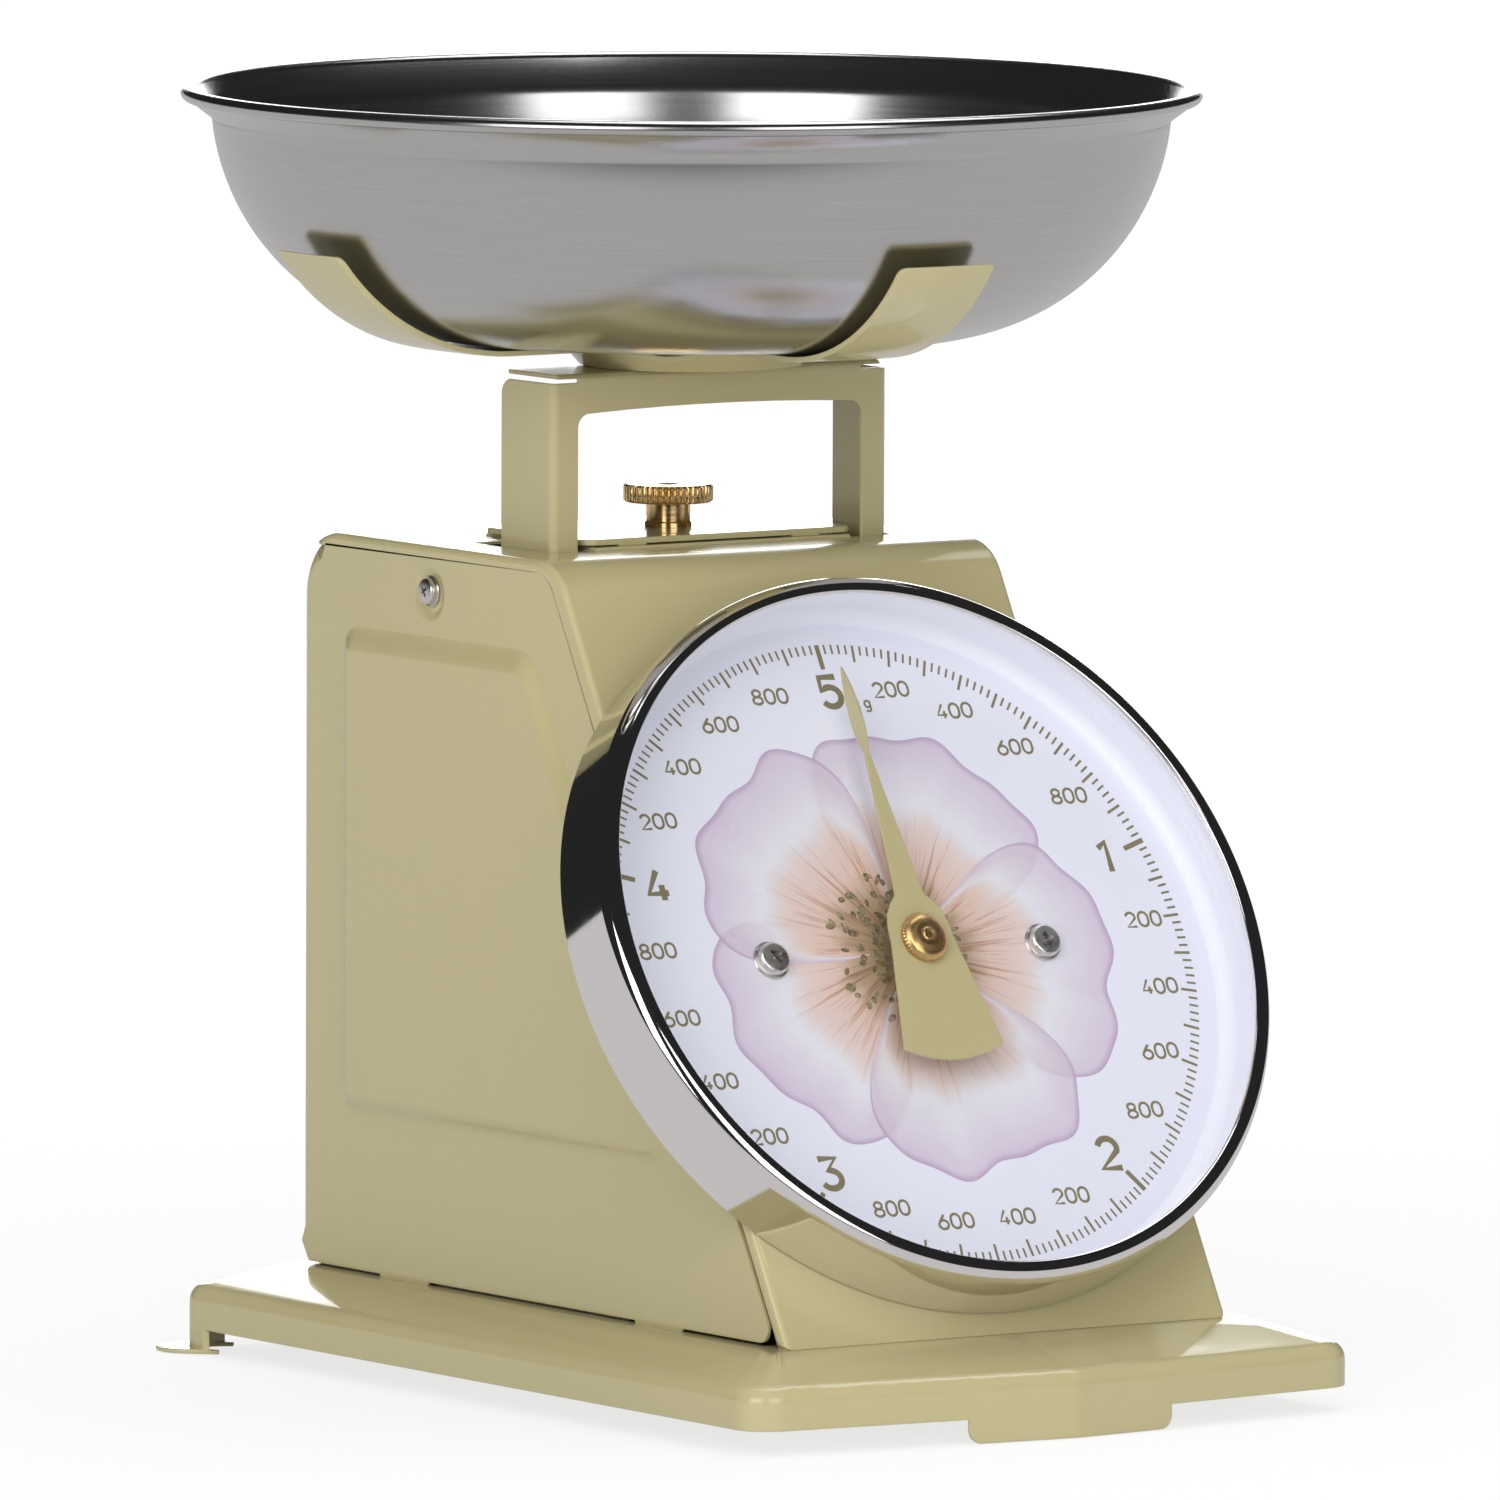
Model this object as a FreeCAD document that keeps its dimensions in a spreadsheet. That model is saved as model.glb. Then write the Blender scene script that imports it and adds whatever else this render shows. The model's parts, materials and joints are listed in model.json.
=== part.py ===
import FreeCAD, Part
import math
import os
import re

import Sketcher
from FreeCAD import Vector

# A mechanical kitchen scale that weighs up to 5 kg: a pressed base tray, a sheet housing with a
# sloping dial, a bracket that comes up through the housing's top to carry a bowl, and the
# spring, levers, rack and pinion that turn the bracket's travel into one turn of the pointer.
#
# Sizes are in millimetres and degrees. +Z is up and the dial faces -Y. Heights start at the
# ground, and distances forwards and back start at the bowl's axis. What belongs to the dial is
# drawn in the dial's own frame: X to the right, Y up the sloping face and Z out of it.

SIZES = [
    ("bowl_radius", 110.0, "outside of the bowl's rolled rim"),
    ("bowl_bottom", 223.5, "height of the bowl's underside"),
    ("bowl_foot_radius", 51.5, "flat middle of the bowl's underside"),
    ("bowl_bend", 52.0, "radius of the bowl's wall, seen from the side"),
    ("bowl_sheet", 0.8, "thickness of the bowl"),
    ("bowl_wall_rise", 47.0, "height of the wall's end above the underside"),
    ("rim_rise", 52.3, "height of the rim bead's centre above the underside"),
    ("rim_bead", 1.6, "radius of the rolled rim"),
    ("front_reach", 149.1, "from the bowl's axis to the point of the tray"),
    ("tray_corner_reach", 141.2, "from the bowl's axis to the tray's front corners"),
    ("tray_border", 21.0, "from the housing's side to the tray's edge"),
    ("tray_rear", 83.7, "from the bowl's axis to the tray's rear edge"),
    ("tray_top", 19.4, "height of the tray's flat top"),
    ("tray_shoulder", 14.0, "height at which the tray's top turns down into its skirt"),
    ("tray_skirt", 5.2, "height of the skirt's lower edge"),
    ("tray_sheet", 1.0, "thickness of the tray"),
    ("tray_corner", 8.0, "rounding of the tray's corners"),
    ("tray_bend", 4.0, "rounding of the tray's shoulder"),
    ("nose_round", 12.0, "rounding of the tray's blunt point"),
    ("table_corner", 3.0, "rounding of the corners of the tray's flat top"),
    ("foot_half_width", 26.0, "half of the front foot's width"),
    ("foot_round", 3.0, "rounding of the front foot's lower corners"),
    ("table_margin", 5.0, "flat border of the tray beside the housing"),
    ("tongue_width", 16.0, "width of a rear foot"),
    ("tongue_reach", 7.5, "how far a rear foot stands out of its corner"),
    ("body_half_width", 56.7, "half of the housing's width"),
    ("body_top", 179.4, "height of the housing's top"),
    ("body_rear", 67.7, "from the bowl's axis to the housing's back"),
    ("face_foot", 122.7, "from the bowl's axis to the face's lower edge"),
    ("face_slope", 29.24, "angle of the face from upright"),
    ("body_sheet", 0.8, "thickness of the housing's sheet"),
    ("front_bend", 13.0, "rounding from the face to the top"),
    ("rear_bend", 15.0, "rounding from the top to the back"),
    ("lip", 3.8, "width of the front sheet's side lips along the face"),
    ("top_lip", 2.8, "width of the lips along the top, and of the tail"),
    ("seam", 0.3, "gap between the lips and the rear cover"),
    ("cover_corner", 8.0, "rounding of the rear cover's front corners"),
    ("cover_bend", 5.0, "rounding of the rear cover's upright edges"),
    ("cover_lift", 0.7, "gap under the rear cover between its tabs"),
    ("front_tab_near", 82.8, "front tab's front end, ahead of the bowl's axis"),
    ("front_tab_far", 64.8, "front tab's rear end, ahead of the bowl's axis"),
    ("rear_tab_near", 15.7, "rear tab's front end, behind the bowl's axis"),
    ("rear_tab_far", 34.6, "rear tab's rear end, behind the bowl's axis"),
    ("cover_screw_back", 15.8, "cover screw, behind the bowl's axis"),
    ("cover_screw_up", 169.6, "height of the cover screw"),
    ("screw_shank", 1.5, "radius of a small screw's shank"),
    ("screw_head", 3.4, "radius of a small screw's head"),
    ("screw_head_height", 1.7, "height of a small screw's head"),
    ("frame_sheet", 1.2, "thickness of the inner frame"),
    ("frame_gap", 1.0, "gap between the inner frame and the housing's sheet"),
    ("frame_front", 60.0, "inner frame's front edge, ahead of the bowl's axis"),
    ("frame_rear", 61.0, "inner frame's rear edge, behind the bowl's axis"),
    ("frame_screw_side", 40.0, "frame screws, from the middle"),
    ("frame_screw_front", 45.0, "front frame screws, ahead of the bowl's axis"),
    ("frame_screw_rear", 50.0, "rear frame screws, behind the bowl's axis"),
    ("bracket_half_width", 43.45, "half of the load bracket's width"),
    ("bracket_front", 11.7, "load bracket's front, ahead of the bowl's axis"),
    ("bracket_depth", 19.9, "depth of the load bracket's side flanges"),
    ("bracket_top", 217.4, "height of the load bracket's top"),
    ("bracket_foot", 52.0, "height of the load bracket's lower ends"),
    ("bracket_sheet", 1.0, "thickness of the load bracket"),
    ("bracket_bend", 1.8, "rounding of the load bracket's front edges"),
    ("leg_width", 6.85, "width of a leg, seen from the front"),
    ("beam_depth", 8.6, "height of the beam at its ends"),
    ("beam_arch", 620.0, "radius of the beam's gently arched lower edge"),
    ("beam_corner", 3.0, "rounding of the window's upper corners"),
    ("flange_gap", 0.8, "slit between a side flange and the bracket's top"),
    ("top_margin", 1.8, "from a flange's outside to the end of the bracket's top"),
    ("flange_round", 3.5, "rounding of the side flanges' upper rear corners"),
    ("slot_gap", 1.2, "gap in front of a leg and beside it in the housing's top"),
    ("slot_inner_gap", 3.0, "gap between a leg and the slot's inner end"),
    ("slot_rear_gap", 9.5, "gap between a flange and the slot's rear end"),
    ("cradle_sheet", 1.2, "thickness of the bowl's cradle"),
    ("cradle_gap", 0.3, "gap between the cradle and the bowl"),
    ("arm_half_width", 12.0, "half of a cradle arm's width"),
    ("arm_stand_off", 3.9, "how far the arms stand away from the bowl's wall"),
    ("arm_round", 1.5, "rounding of the cradle arms' corners"),
    ("arm_tip", 245.0, "height of the cradle arms' tips"),
    ("well_radius", 24.0, "sunk middle of the cradle"),
    ("well_slope", 4.0, "width of the step into the cradle's middle"),
    ("rivet_spread", 12.0, "cradle rivets, from the middle"),
    ("rivet_shank", 1.6, "radius of a cradle rivet's shank"),
    ("rivet_head", 3.0, "radius of a cradle rivet's head"),
    ("rivet_head_height", 1.0, "height of a cradle rivet's head"),
    ("knob_back", 8.5, "zero knob, behind the bowl's axis"),
    ("plate_half_length", 35.0, "half of the adjuster plate's length"),
    ("plate_half_depth", 20.2, "half of the adjuster plate's depth"),
    ("plate_sheet", 0.7, "thickness of the adjuster plate"),
    ("field_rise", 0.6, "height of the raised field under the adjuster plate"),
    ("field_margin", 1.5, "border of the raised field in front of the plate and behind it"),
    ("plate_rim", 0.6, "height of the plate's turned-down edges"),
    ("plate_lift", 0.9, "gap under the adjuster plate"),
    ("plate_foot_near", 18.8, "inner end of the adjuster plate's feet, from the middle"),
    ("plate_foot_far", 26.0, "outer end of the adjuster plate's feet, from the middle"),
    ("knob_radius", 9.7, "outside of the zero knob's knurled head"),
    ("knob_head", 3.9, "height of the zero knob's head"),
    ("knob_neck_radius", 4.85, "zero knob's neck"),
    ("knob_neck", 5.4, "height of the zero knob's neck"),
    ("knob_shank", 2.0, "radius of the zero knob's screw"),
    ("knob_shank_foot", 143.0, "height of the zero screw's lower end"),
    ("knurl_depth", 0.45, "depth of the knurl's grooves"),
    ("running_gap", 0.05, "radial gap of a shaft in its hole"),
    ("hanger_top", 156.0, "height of the spring hanger's top"),
    ("hanger_height", 5.0, "height of the spring hanger"),
    ("hanger_half_length", 22.0, "half of the spring hanger's length"),
    ("hanger_half_depth", 5.0, "half of the spring hanger's depth"),
    ("spring_side", 14.0, "springs, from the middle"),
    ("spring_radius", 5.2, "radius of a spring, to the middle of its wire"),
    ("spring_wire", 0.8, "radius of a spring's wire"),
    ("spring_pitch", 3.0, "pitch of a spring's coils"),
    ("spring_tail", 8.0, "straight wire at each end of a spring"),
    ("bar_foot", 66.0, "height of the spring bar's underside"),
    ("bar_height", 4.0, "height of the spring bar"),
    ("bar_near", 2.5, "spring bar's front edge, behind the bowl's axis"),
    ("bar_far", 14.5, "spring bar's rear edge, behind the bowl's axis"),
    ("pin_radius", 1.75, "radius of a lever pin"),
    ("pin_back", -1.0, "lever pins, behind the bowl's axis"),
    ("upper_pin", 150.0, "height of the upper lever pins"),
    ("lower_pin", 76.0, "height of the lower lever pins"),
    ("axle_radius", 2.0, "radius of a lever axle"),
    ("axle_back", 52.0, "lever axles, behind the bowl's axis"),
    ("axle_drop", 7.0, "height of the unloaded lever pins above the lever axles"),
    ("lever_arm_in", 46.0, "lever arms' inner side, from the middle"),
    ("lever_sheet", 1.5, "thickness of a lever"),
    ("lever_half_height", 4.5, "half of a lever arm's height"),
    ("lever_slot_play", 0.5, "how far a lever's slot is longer than its pin, each way"),
    ("web_near", 9.0, "lever web, ahead of the axle"),
    ("web_depth", 6.0, "depth of a lever's web"),
    ("dial_up", 95.4, "height of the dial's centre on the face"),
    ("bezel_radius", 81.66, "outside of the bezel"),
    ("bezel_depth", 18.3, "how far the bezel stands out of the face"),
    ("bezel_round", 3.0, "rounding of the bezel's front edge"),
    ("bezel_sheet", 0.8, "thickness of the bezel's wall"),
    ("bezel_lip", 3.8, "width of the bezel's front lip"),
    ("bezel_lift", 0.3, "gap between the bezel and the face"),
    ("pan_rim", 6.0, "height of the dial pan's rim"),
    ("pan_sheet", 1.0, "thickness of the dial pan"),
    ("plate_level", 2.8, "underside of the dial plate above the face"),
    ("dial_sheet", 0.6, "thickness of the dial plate"),
    ("dial_margin", 2.46, "from the outside of the bezel to the dial plate's edge"),
    ("dial_screw_side", 34.97, "dial screws, from the dial's centre"),
    ("dial_screw_shank", 2.0, "radius of a dial screw's shank"),
    ("dial_screw_head", 3.9, "radius of a dial screw's head"),
    ("dial_screw_height", 2.4, "height of a dial screw's head"),
    ("lens_level", 14.1, "underside of the lens above the face"),
    ("lens_sheet", 2.0, "thickness of the lens"),
    ("fit_gap", 0.05, "gap between pieces that are pushed together"),
    ("shaft_radius", 1.5, "radius of the pointer's shaft"),
    ("shaft_rear", 21.5, "shaft's rear end, behind the face"),
    ("shaft_front", 12.0, "shaft's front end, ahead of the face"),
    ("pointer_level", 9.5, "underside of the pointer above the face"),
    ("pointer_sheet", 0.8, "thickness of the pointer"),
    ("pointer_length", 64.0, "from the pointer's shaft to its tip"),
    ("pointer_tail", 29.0, "from the pointer's shaft to its tail's end"),
    ("tail_half_width", 12.5, "half of the tail's width"),
    ("hub_radius", 7.8, "width of the pointer around its shaft"),
    ("cap_radius", 5.6, "outside of the pointer's cap"),
    ("cap_height", 2.9, "height of the pointer's cap"),
    ("bush_radius", 4.0, "outside of the front bush"),
    ("bush_flange", 6.0, "flange of the front bush"),
    ("bush_length", 3.0, "length of the front bush behind the face"),
    ("rear_bush_radius", 3.5, "outside of the rear bush"),
    ("bridge_half_length", 40.0, "half of the bearing bridge's length"),
    ("bridge_half_width", 7.0, "half of the bearing bridge's width"),
    ("bridge_depth", 18.0, "bearing bridge's web, behind the face"),
    ("bridge_foot", 10.0, "length of the bearing bridge's feet"),
    ("tooth_module", 0.3, "module of the pinion and the rack"),
    ("pinion_front", 6.0, "pinion's front, behind the face"),
    ("pinion_rear", 11.0, "pinion's rear, behind the face"),
    ("mesh_gap", 0.06, "backlash between the pinion and the rack, each side"),
    ("rack_front", 6.5, "rack's front, behind the face"),
    ("rack_rear", 10.5, "rack's rear, behind the face"),
    ("rack_width", 5.0, "width of the rack behind its teeth"),
    ("rack_below", 6.0, "rack's lower end, below the dial's centre"),
    ("rack_above", 44.0, "rack's upper end, above the dial's centre"),
    ("drive_pin_up", 40.0, "drive pin, up the face from the dial's centre"),
    ("drive_pin_in", 8.5, "drive pin, behind the face"),
    ("drive_pin_radius", 1.25, "radius of the drive pin"),
    ("guide_below", 5.0, "rack guide's lower end, below the dial's centre"),
    ("guide_above", 14.0, "rack guide's upper end, above the dial's centre"),
    ("drive_sheet", 1.2, "thickness of the drive arm"),
    ("drive_plate_low", 118.0, "height of the drive plate's lower edge"),
    ("drive_plate_high", 134.0, "height of the drive plate's upper edge"),
    ("drive_arm_half", 2.8, "half of the drive arm's height"),
    ("drive_arm_nose", 2.0, "drive arm's end ahead of the drive pin"),
    ("pad_radius", 5.0, "radius of a stop pad"),
    ("stop_gap", 0.3, "gap left at a stop pad at full load"),
]
PINION_TEETH = 17
PRESSURE_ANGLE = 20.0
KNURL_GROOVES = 44
CAP_KNURL_GROOVES = 40
ALIASES = {alias for alias, _, _ in SIZES}

doc = FreeCAD.newDocument("kitchen_scale")
size = doc.addObject("Spreadsheet::Sheet", "size")
for row, (alias, number, note) in enumerate(SIZES, 1):
    size.set(f"A{row}", alias)
    size.set(f"B{row}", str(number))
    size.setAlias(f"B{row}", alias)
    size.set(f"C{row}", note)
doc.recompute()

parts = {}


# ---------------------------------------------------------------- sizes and expressions

def bound(text):
    """An expression in which each alias is read from the size sheet."""
    return re.sub(r"[a-z_]+", lambda w: "size." + w.group() if w.group() in ALIASES else w.group(), str(text))


def value(text):
    """The number that an expression comes to."""
    result = size.evalExpression(bound(text))
    return float(getattr(result, "Value", result))


def face_back(level, inset="0"):
    """How far back the face's line lies at a height, moved into the housing by inset."""
    return f"(({level} - tray_top) * tan(face_slope) - face_foot + ({inset}) / cos(face_slope))"


BOWL_Y = "(front_reach - bowl_radius) / 2"
PITCH_RADIUS = f"({PINION_TEETH} * tooth_module / 2)"
RACK_TRAVEL = f"(2 * pi * {PITCH_RADIUS})"
TRAVEL = f"({RACK_TRAVEL} * cos(face_slope))"
BODY_INSIDE = "(body_half_width - body_sheet)"
TRAY_HALF_WIDTH = "(body_half_width + tray_border)"
DIAL_RADIUS = "(bezel_radius - dial_margin)"
FRAME_OUTSIDE = f"({BODY_INSIDE} - frame_gap)"
PLATE_SEAT = "(body_top + field_rise)"
PLATE_TOP = f"({PLATE_SEAT} + plate_lift + plate_sheet)"


# ---------------------------------------------------------------- sub-parts and features

def set_down(item, back="0", up="0"):
    """Places an item behind the bowl's axis and above the ground."""
    item.setExpression("Placement.Base.y", bound(f"{BOWL_Y} + {back}"))
    item.setExpression("Placement.Base.z", bound(up))


def set_on_dial(item):
    """Places an item that is drawn in the dial's frame."""
    tilt = FreeCAD.Rotation(Vector(1, 0, 0), value("90 - face_slope"))
    item.Placement = FreeCAD.Placement(Vector(), tilt)
    item.setExpression("Placement.Rotation.Angle", bound("90 - face_slope"))
    set_down(item, face_back("dial_up"), "dial_up")


def keep(item, name, on_dial=False, back="0", up="0"):
    """Registers a finished sub-part under its name, in its place."""
    item.Label = name
    if on_dial:
        set_on_dial(item)
    else:
        set_down(item, back, up)
    parts[name] = item
    return item


def new_body(name):
    return doc.addObject("PartDesign::Body", name + "_body")


def new_sketch(body, plane, lift="0", on_dial=False):
    """A sketch on one of the body's origin planes, or on the plane of the dial's face."""
    sketch = body.newObject("Sketcher::SketchObject", "sketch")
    origin_plane = [item for item in body.Origin.OriginFeatures if item.Role == plane][0]
    sketch.AttachmentSupport = [(origin_plane, "")]
    sketch.MapMode = "FlatFace"
    if on_dial:
        tilt = FreeCAD.Rotation(Vector(1, 0, 0), value("90 - face_slope"))
        sketch.AttachmentOffset = FreeCAD.Placement(Vector(), tilt)
        sketch.setExpression("AttachmentOffset.Rotation.Angle", bound("90 - face_slope"))
        sketch.setExpression("AttachmentOffset.Base.y", bound(face_back("dial_up")))
        sketch.setExpression("AttachmentOffset.Base.z", bound("dial_up"))
    else:
        sketch.setExpression("AttachmentOffset.Base.z", bound(lift))
    return sketch


def fix(sketch, kind, where, text):
    """Adds a dimension to a sketch and binds it to an expression."""
    index = sketch.addConstraint(Sketcher.Constraint(kind, *where, value(text)))
    sketch.setExpression(f"Constraints[{index}]", bound(text))


def draw_arc(start, end, radius):
    """The short arc between two points, which turns left where the radius is positive."""
    chord = end - start
    left = Vector(-chord.y, chord.x, 0).normalize() * math.copysign(1, radius)
    rise = math.sqrt(max(radius ** 2 - (chord.Length / 2) ** 2, 0))
    centre = (start + end) * 0.5 + left * rise
    first, last = (start, end) if radius > 0 else (end, start)
    angles = [math.atan2(point.y - centre.y, point.x - centre.x) for point in (first, last)]
    if angles[1] < angles[0]:
        angles[1] += 2 * math.pi
    return Part.ArcOfCircle(Part.Circle(centre, Vector(0, 0, 1), abs(radius)), *angles)


def draw_outline(sketch, points):
    """A closed outline. A point is (x, y), or (x, y, radius) where an arc leads on from it."""
    corners = [Vector(value(point[0]), value(point[1]), 0) for point in points]
    ends = []
    for index, point in enumerate(points):
        start, end = corners[index], corners[(index + 1) % len(points)]
        if len(point) == 3:
            radius = value(point[2])
            edge = sketch.addGeometry(draw_arc(start, end, radius), False)
            ends.append((edge, 1, 2) if radius > 0 else (edge, 2, 1))
        else:
            edge = sketch.addGeometry(Part.LineSegment(start, end), False)
            ends.append((edge, 1, 2))
    for (edge, _, last), (following, first, _) in zip(ends, ends[1:] + ends[:1]):
        sketch.addConstraint(Sketcher.Constraint("Coincident", edge, last, following, first))
    for point, (edge, first, _) in zip(points, ends):
        fix(sketch, "DistanceX", (-1, 1, edge, first), point[0])
        fix(sketch, "DistanceY", (-1, 1, edge, first), point[1])
        if len(point) == 3:
            fix(sketch, "Radius", (edge,), point[2] if value(point[2]) > 0 else f"-({point[2]})")
    return sketch


def draw_circle(sketch, across, along, radius):
    centre = Vector(value(across), value(along), 0)
    edge = sketch.addGeometry(Part.Circle(centre, Vector(0, 0, 1), value(radius)), False)
    fix(sketch, "DistanceX", (-1, 1, edge, 3), across)
    fix(sketch, "DistanceY", (-1, 1, edge, 3), along)
    fix(sketch, "Radius", (edge,), radius)
    return sketch


def draw_box(sketch, left, low, right, high):
    return draw_outline(sketch, [(left, low), (right, low), (right, high), (left, high)])


def shape_with(body, kind, sketch, length, symmetric=False, backwards=False):
    """A Pad or a Pocket of a sketch."""
    feature = body.newObject("PartDesign::" + kind, kind.lower())
    feature.Profile = sketch
    feature.setExpression("Length", bound(length))
    if symmetric:
        feature.SideType = "Symmetric"
    feature.Reversed = backwards
    doc.recompute()
    return feature


def pad(body, sketch, length, symmetric=False, backwards=False):
    return shape_with(body, "Pad", sketch, length, symmetric, backwards)


def pocket(body, sketch, length, symmetric=False, backwards=False):
    """A Pocket that has to take something away."""
    before = body.Shape.Volume
    feature = shape_with(body, "Pocket", sketch, length, symmetric, backwards)
    if not body.Shape.Volume < before - 1e-6:
        raise RuntimeError(f"{body.Name}: {feature.Name} cuts nothing")
    return feature


def fillet(body, radius, chosen):
    """Rounds the edges of the body that the test picks."""
    feature = body.newObject("PartDesign::Fillet", "fillet")
    edges = [f"Edge{n}" for n, edge in enumerate(body.Shape.Edges, 1) if chosen(edge)]
    feature.Base = (body.Tip if body.Tip != feature else feature.BaseFeature, edges)
    feature.setExpression("Radius", bound(radius))
    doc.recompute()
    return feature


def turned(name, points, on_dial=False, back="0", up="0"):
    """A turned piece: an outline of (radius, height) points spun about the upright axis."""
    body = new_body(name)
    sketch = draw_outline(new_sketch(body, "XZ_Plane"), points)
    spin = body.newObject("PartDesign::Revolution", "revolution")
    spin.Profile = sketch
    spin.ReferenceAxis = (sketch, ["V_Axis"])
    spin.Angle = 360
    doc.recompute()
    return keep(body, name, on_dial, back, up)


def box(left, low_y, low_z, right, high_y, high_z):
    item = doc.addObject("Part::Box", "box")
    item.setExpression("Length", bound(f"({right}) - ({left})"))
    item.setExpression("Width", bound(f"({high_y}) - ({low_y})"))
    item.setExpression("Height", bound(f"({high_z}) - ({low_z})"))
    item.setExpression("Placement.Base.x", bound(left))
    item.setExpression("Placement.Base.y", bound(low_y))
    item.setExpression("Placement.Base.z", bound(low_z))
    return item


def rod(radius, start, end, across, along, axis="z"):
    """A cylinder along z, with x and y given, or along x, with y and z given."""
    item = doc.addObject("Part::Cylinder", "rod")
    item.setExpression("Radius", bound(radius))
    item.setExpression("Height", bound(f"({end}) - ({start})"))
    if axis == "x":
        item.Placement = FreeCAD.Placement(Vector(), FreeCAD.Rotation(Vector(0, 1, 0), 90))
        places = {"x": start, "y": across, "z": along}
    else:
        places = {"x": across, "y": along, "z": start}
    for letter, text in places.items():
        item.setExpression("Placement.Base." + letter, bound(text))
    return item


def fused(items):
    item = doc.addObject("Part::MultiFuse", "fused")
    item.Shapes = items
    return item


def cut(base, tool):
    item = doc.addObject("Part::Cut", "cut")
    item.Base = base
    item.Tool = tool
    return item


def grouped(items):
    item = doc.addObject("Part::Compound", "group")
    item.Links = items
    return item


def made(shape):
    """A feature whose shape comes from Part's own functions."""
    item = doc.addObject("Part::Feature", "made")
    item.Shape = shape
    return item


# ---------------------------------------------------------------- base tray

def rounded_wire(points, radii, level):
    """A closed flat wire through the points, with each corner rounded by its radius."""
    corners = [Vector(x, y, level) for x, y in points]
    edges = []
    joints = []
    for index, corner in enumerate(corners):
        before = (corners[index - 1] - corner).normalize()
        after = (corners[(index + 1) % len(corners)] - corner).normalize()
        if not radii[index]:
            joints.append((corner, corner, corner, False))
            continue
        half = before.getAngle(after) / 2
        reach = radii[index] / math.tan(half)
        middle = corner + (before + after).normalize() * (radii[index] / math.sin(half) - radii[index])
        joints.append((corner + before * reach, middle, corner + after * reach, True))
    for index, (enter, middle, leave, is_round) in enumerate(joints):
        if is_round:
            edges.append(Part.Arc(enter, middle, leave).toShape())
        edges.append(Part.LineSegment(leave, joints[(index + 1) % len(joints)][0]).toShape())
    return Part.Wire(edges)


def tray_outline(inset, level):
    """The tray's plan with its pointed front, drawn in by inset."""
    side = value(TRAY_HALF_WIDTH) - inset
    rear = value("tray_rear") - inset
    nose = value(f"(front_reach - tray_corner_reach) / {TRAY_HALF_WIDTH}")
    tip = -value("front_reach") + inset * math.sqrt(1 + nose ** 2)
    corner = value("tray_corner") - inset
    points = [(side, rear), (-side, rear), (-side, tip + side * nose), (0, tip), (side, tip + side * nose)]
    return rounded_wire(points, [corner, corner, corner, value("nose_round") - inset, corner], level)


def tray_table(inset, level):
    """The flat top of the tray, a little larger than the housing's footprint."""
    side = value("body_half_width + table_margin") - inset
    rear = value("body_rear + 1") - inset
    front = inset - value("face_foot + 1")
    corner = value("table_corner")
    points = [(side, rear), (-side, rear), (-side, front), (0, front - 0.5), (side, front)]
    return rounded_wire(points, [corner, corner, corner, value("nose_round"), corner], level)


def tray_solid(inset, foot, drop):
    """A solid of the tray's form, from foot up to its top, lowered and drawn in."""
    shoulder = value("tray_shoulder") - drop
    table = tray_table(inset, value("tray_top") - drop)
    rings = [tray_outline(inset, foot), tray_outline(inset, shoulder), table]
    solid = Part.makeLoft(rings, True, True)
    bend = value("tray_bend") - inset
    edges = [edge for edge in solid.Edges if all(abs(v.Z - shoulder) < 1e-6 for v in edge.Vertexes)]
    return solid.makeFillet(bend, edges)


def upright_band(low, high):
    """The skirt's sheet between two heights, all the way round the tray."""
    sheet = value("tray_sheet")
    height = Vector(0, 0, high - low)
    outer = Part.Face(tray_outline(0, low)).extrude(height)
    return outer.cut(Part.Face(tray_outline(sheet, low)).extrude(height))


def rear_foot(side):
    """A strap that comes down a rear corner and turns out along the ground."""
    sheet, width, reach = value("tray_sheet"), value("tongue_width"), value("tongue_reach")
    skirt, corner = value("tray_skirt"), value("tray_corner")
    centre = Vector(side * (value(TRAY_HALF_WIDTH) - corner), value("tray_rear") - corner, 0)
    turn = FreeCAD.Rotation(Vector(0, 0, 1), 45 if side > 0 else 135)
    window = Part.makeBox(corner + 4, width, skirt + 2, Vector(0, -width / 2, 0))
    window.Placement = FreeCAD.Placement(centre, turn)
    strap = upright_band(0, skirt + 1).common(window)
    tip = corner + reach - width / 2
    flange = Part.makeBox(tip, width, sheet, Vector(0, -width / 2, 0))
    flange = flange.fuse(Part.makeCylinder(width / 2, sheet, Vector(tip, 0, 0)))
    flange = flange.cut(Part.makeCylinder(corner - sheet, sheet))
    flange.Placement = FreeCAD.Placement(centre, turn)
    return strap.fuse(flange)


def build_base_tray():
    skirt, sheet = value("tray_skirt"), value("tray_sheet")
    tray = tray_solid(0, skirt, 0).cut(tray_solid(sheet, skirt - 1, sheet))
    half, reach = value("foot_half_width"), value("front_reach")
    front_window = Part.makeBox(2 * half, reach, skirt + 1, Vector(-half, -reach, 0))

    def is_low_side(edge):
        first, last = edge.Vertexes[0].Point, edge.Vertexes[-1].Point
        return max(first.z, last.z) < 1e-6 and abs(first.x - last.x) < 1e-6

    low_sides = [edge for edge in front_window.Edges if is_low_side(edge)]
    front_window = front_window.makeFillet(value("foot_round"), low_sides)
    front_foot = upright_band(0, skirt + 1).common(front_window)
    tray = tray.fuse([front_foot, rear_foot(1), rear_foot(-1)]).removeSplitter()
    for x, y in frame_screw_places():
        start = Vector(x, y, value("tray_top") - 2 * sheet)
        hole = Part.makeCylinder(value("screw_shank + 0.3"), 3 * sheet, start)
        tray = tray.cut(hole)
    keep(made(tray), "base_tray")


# ---------------------------------------------------------------- inner frame

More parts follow.
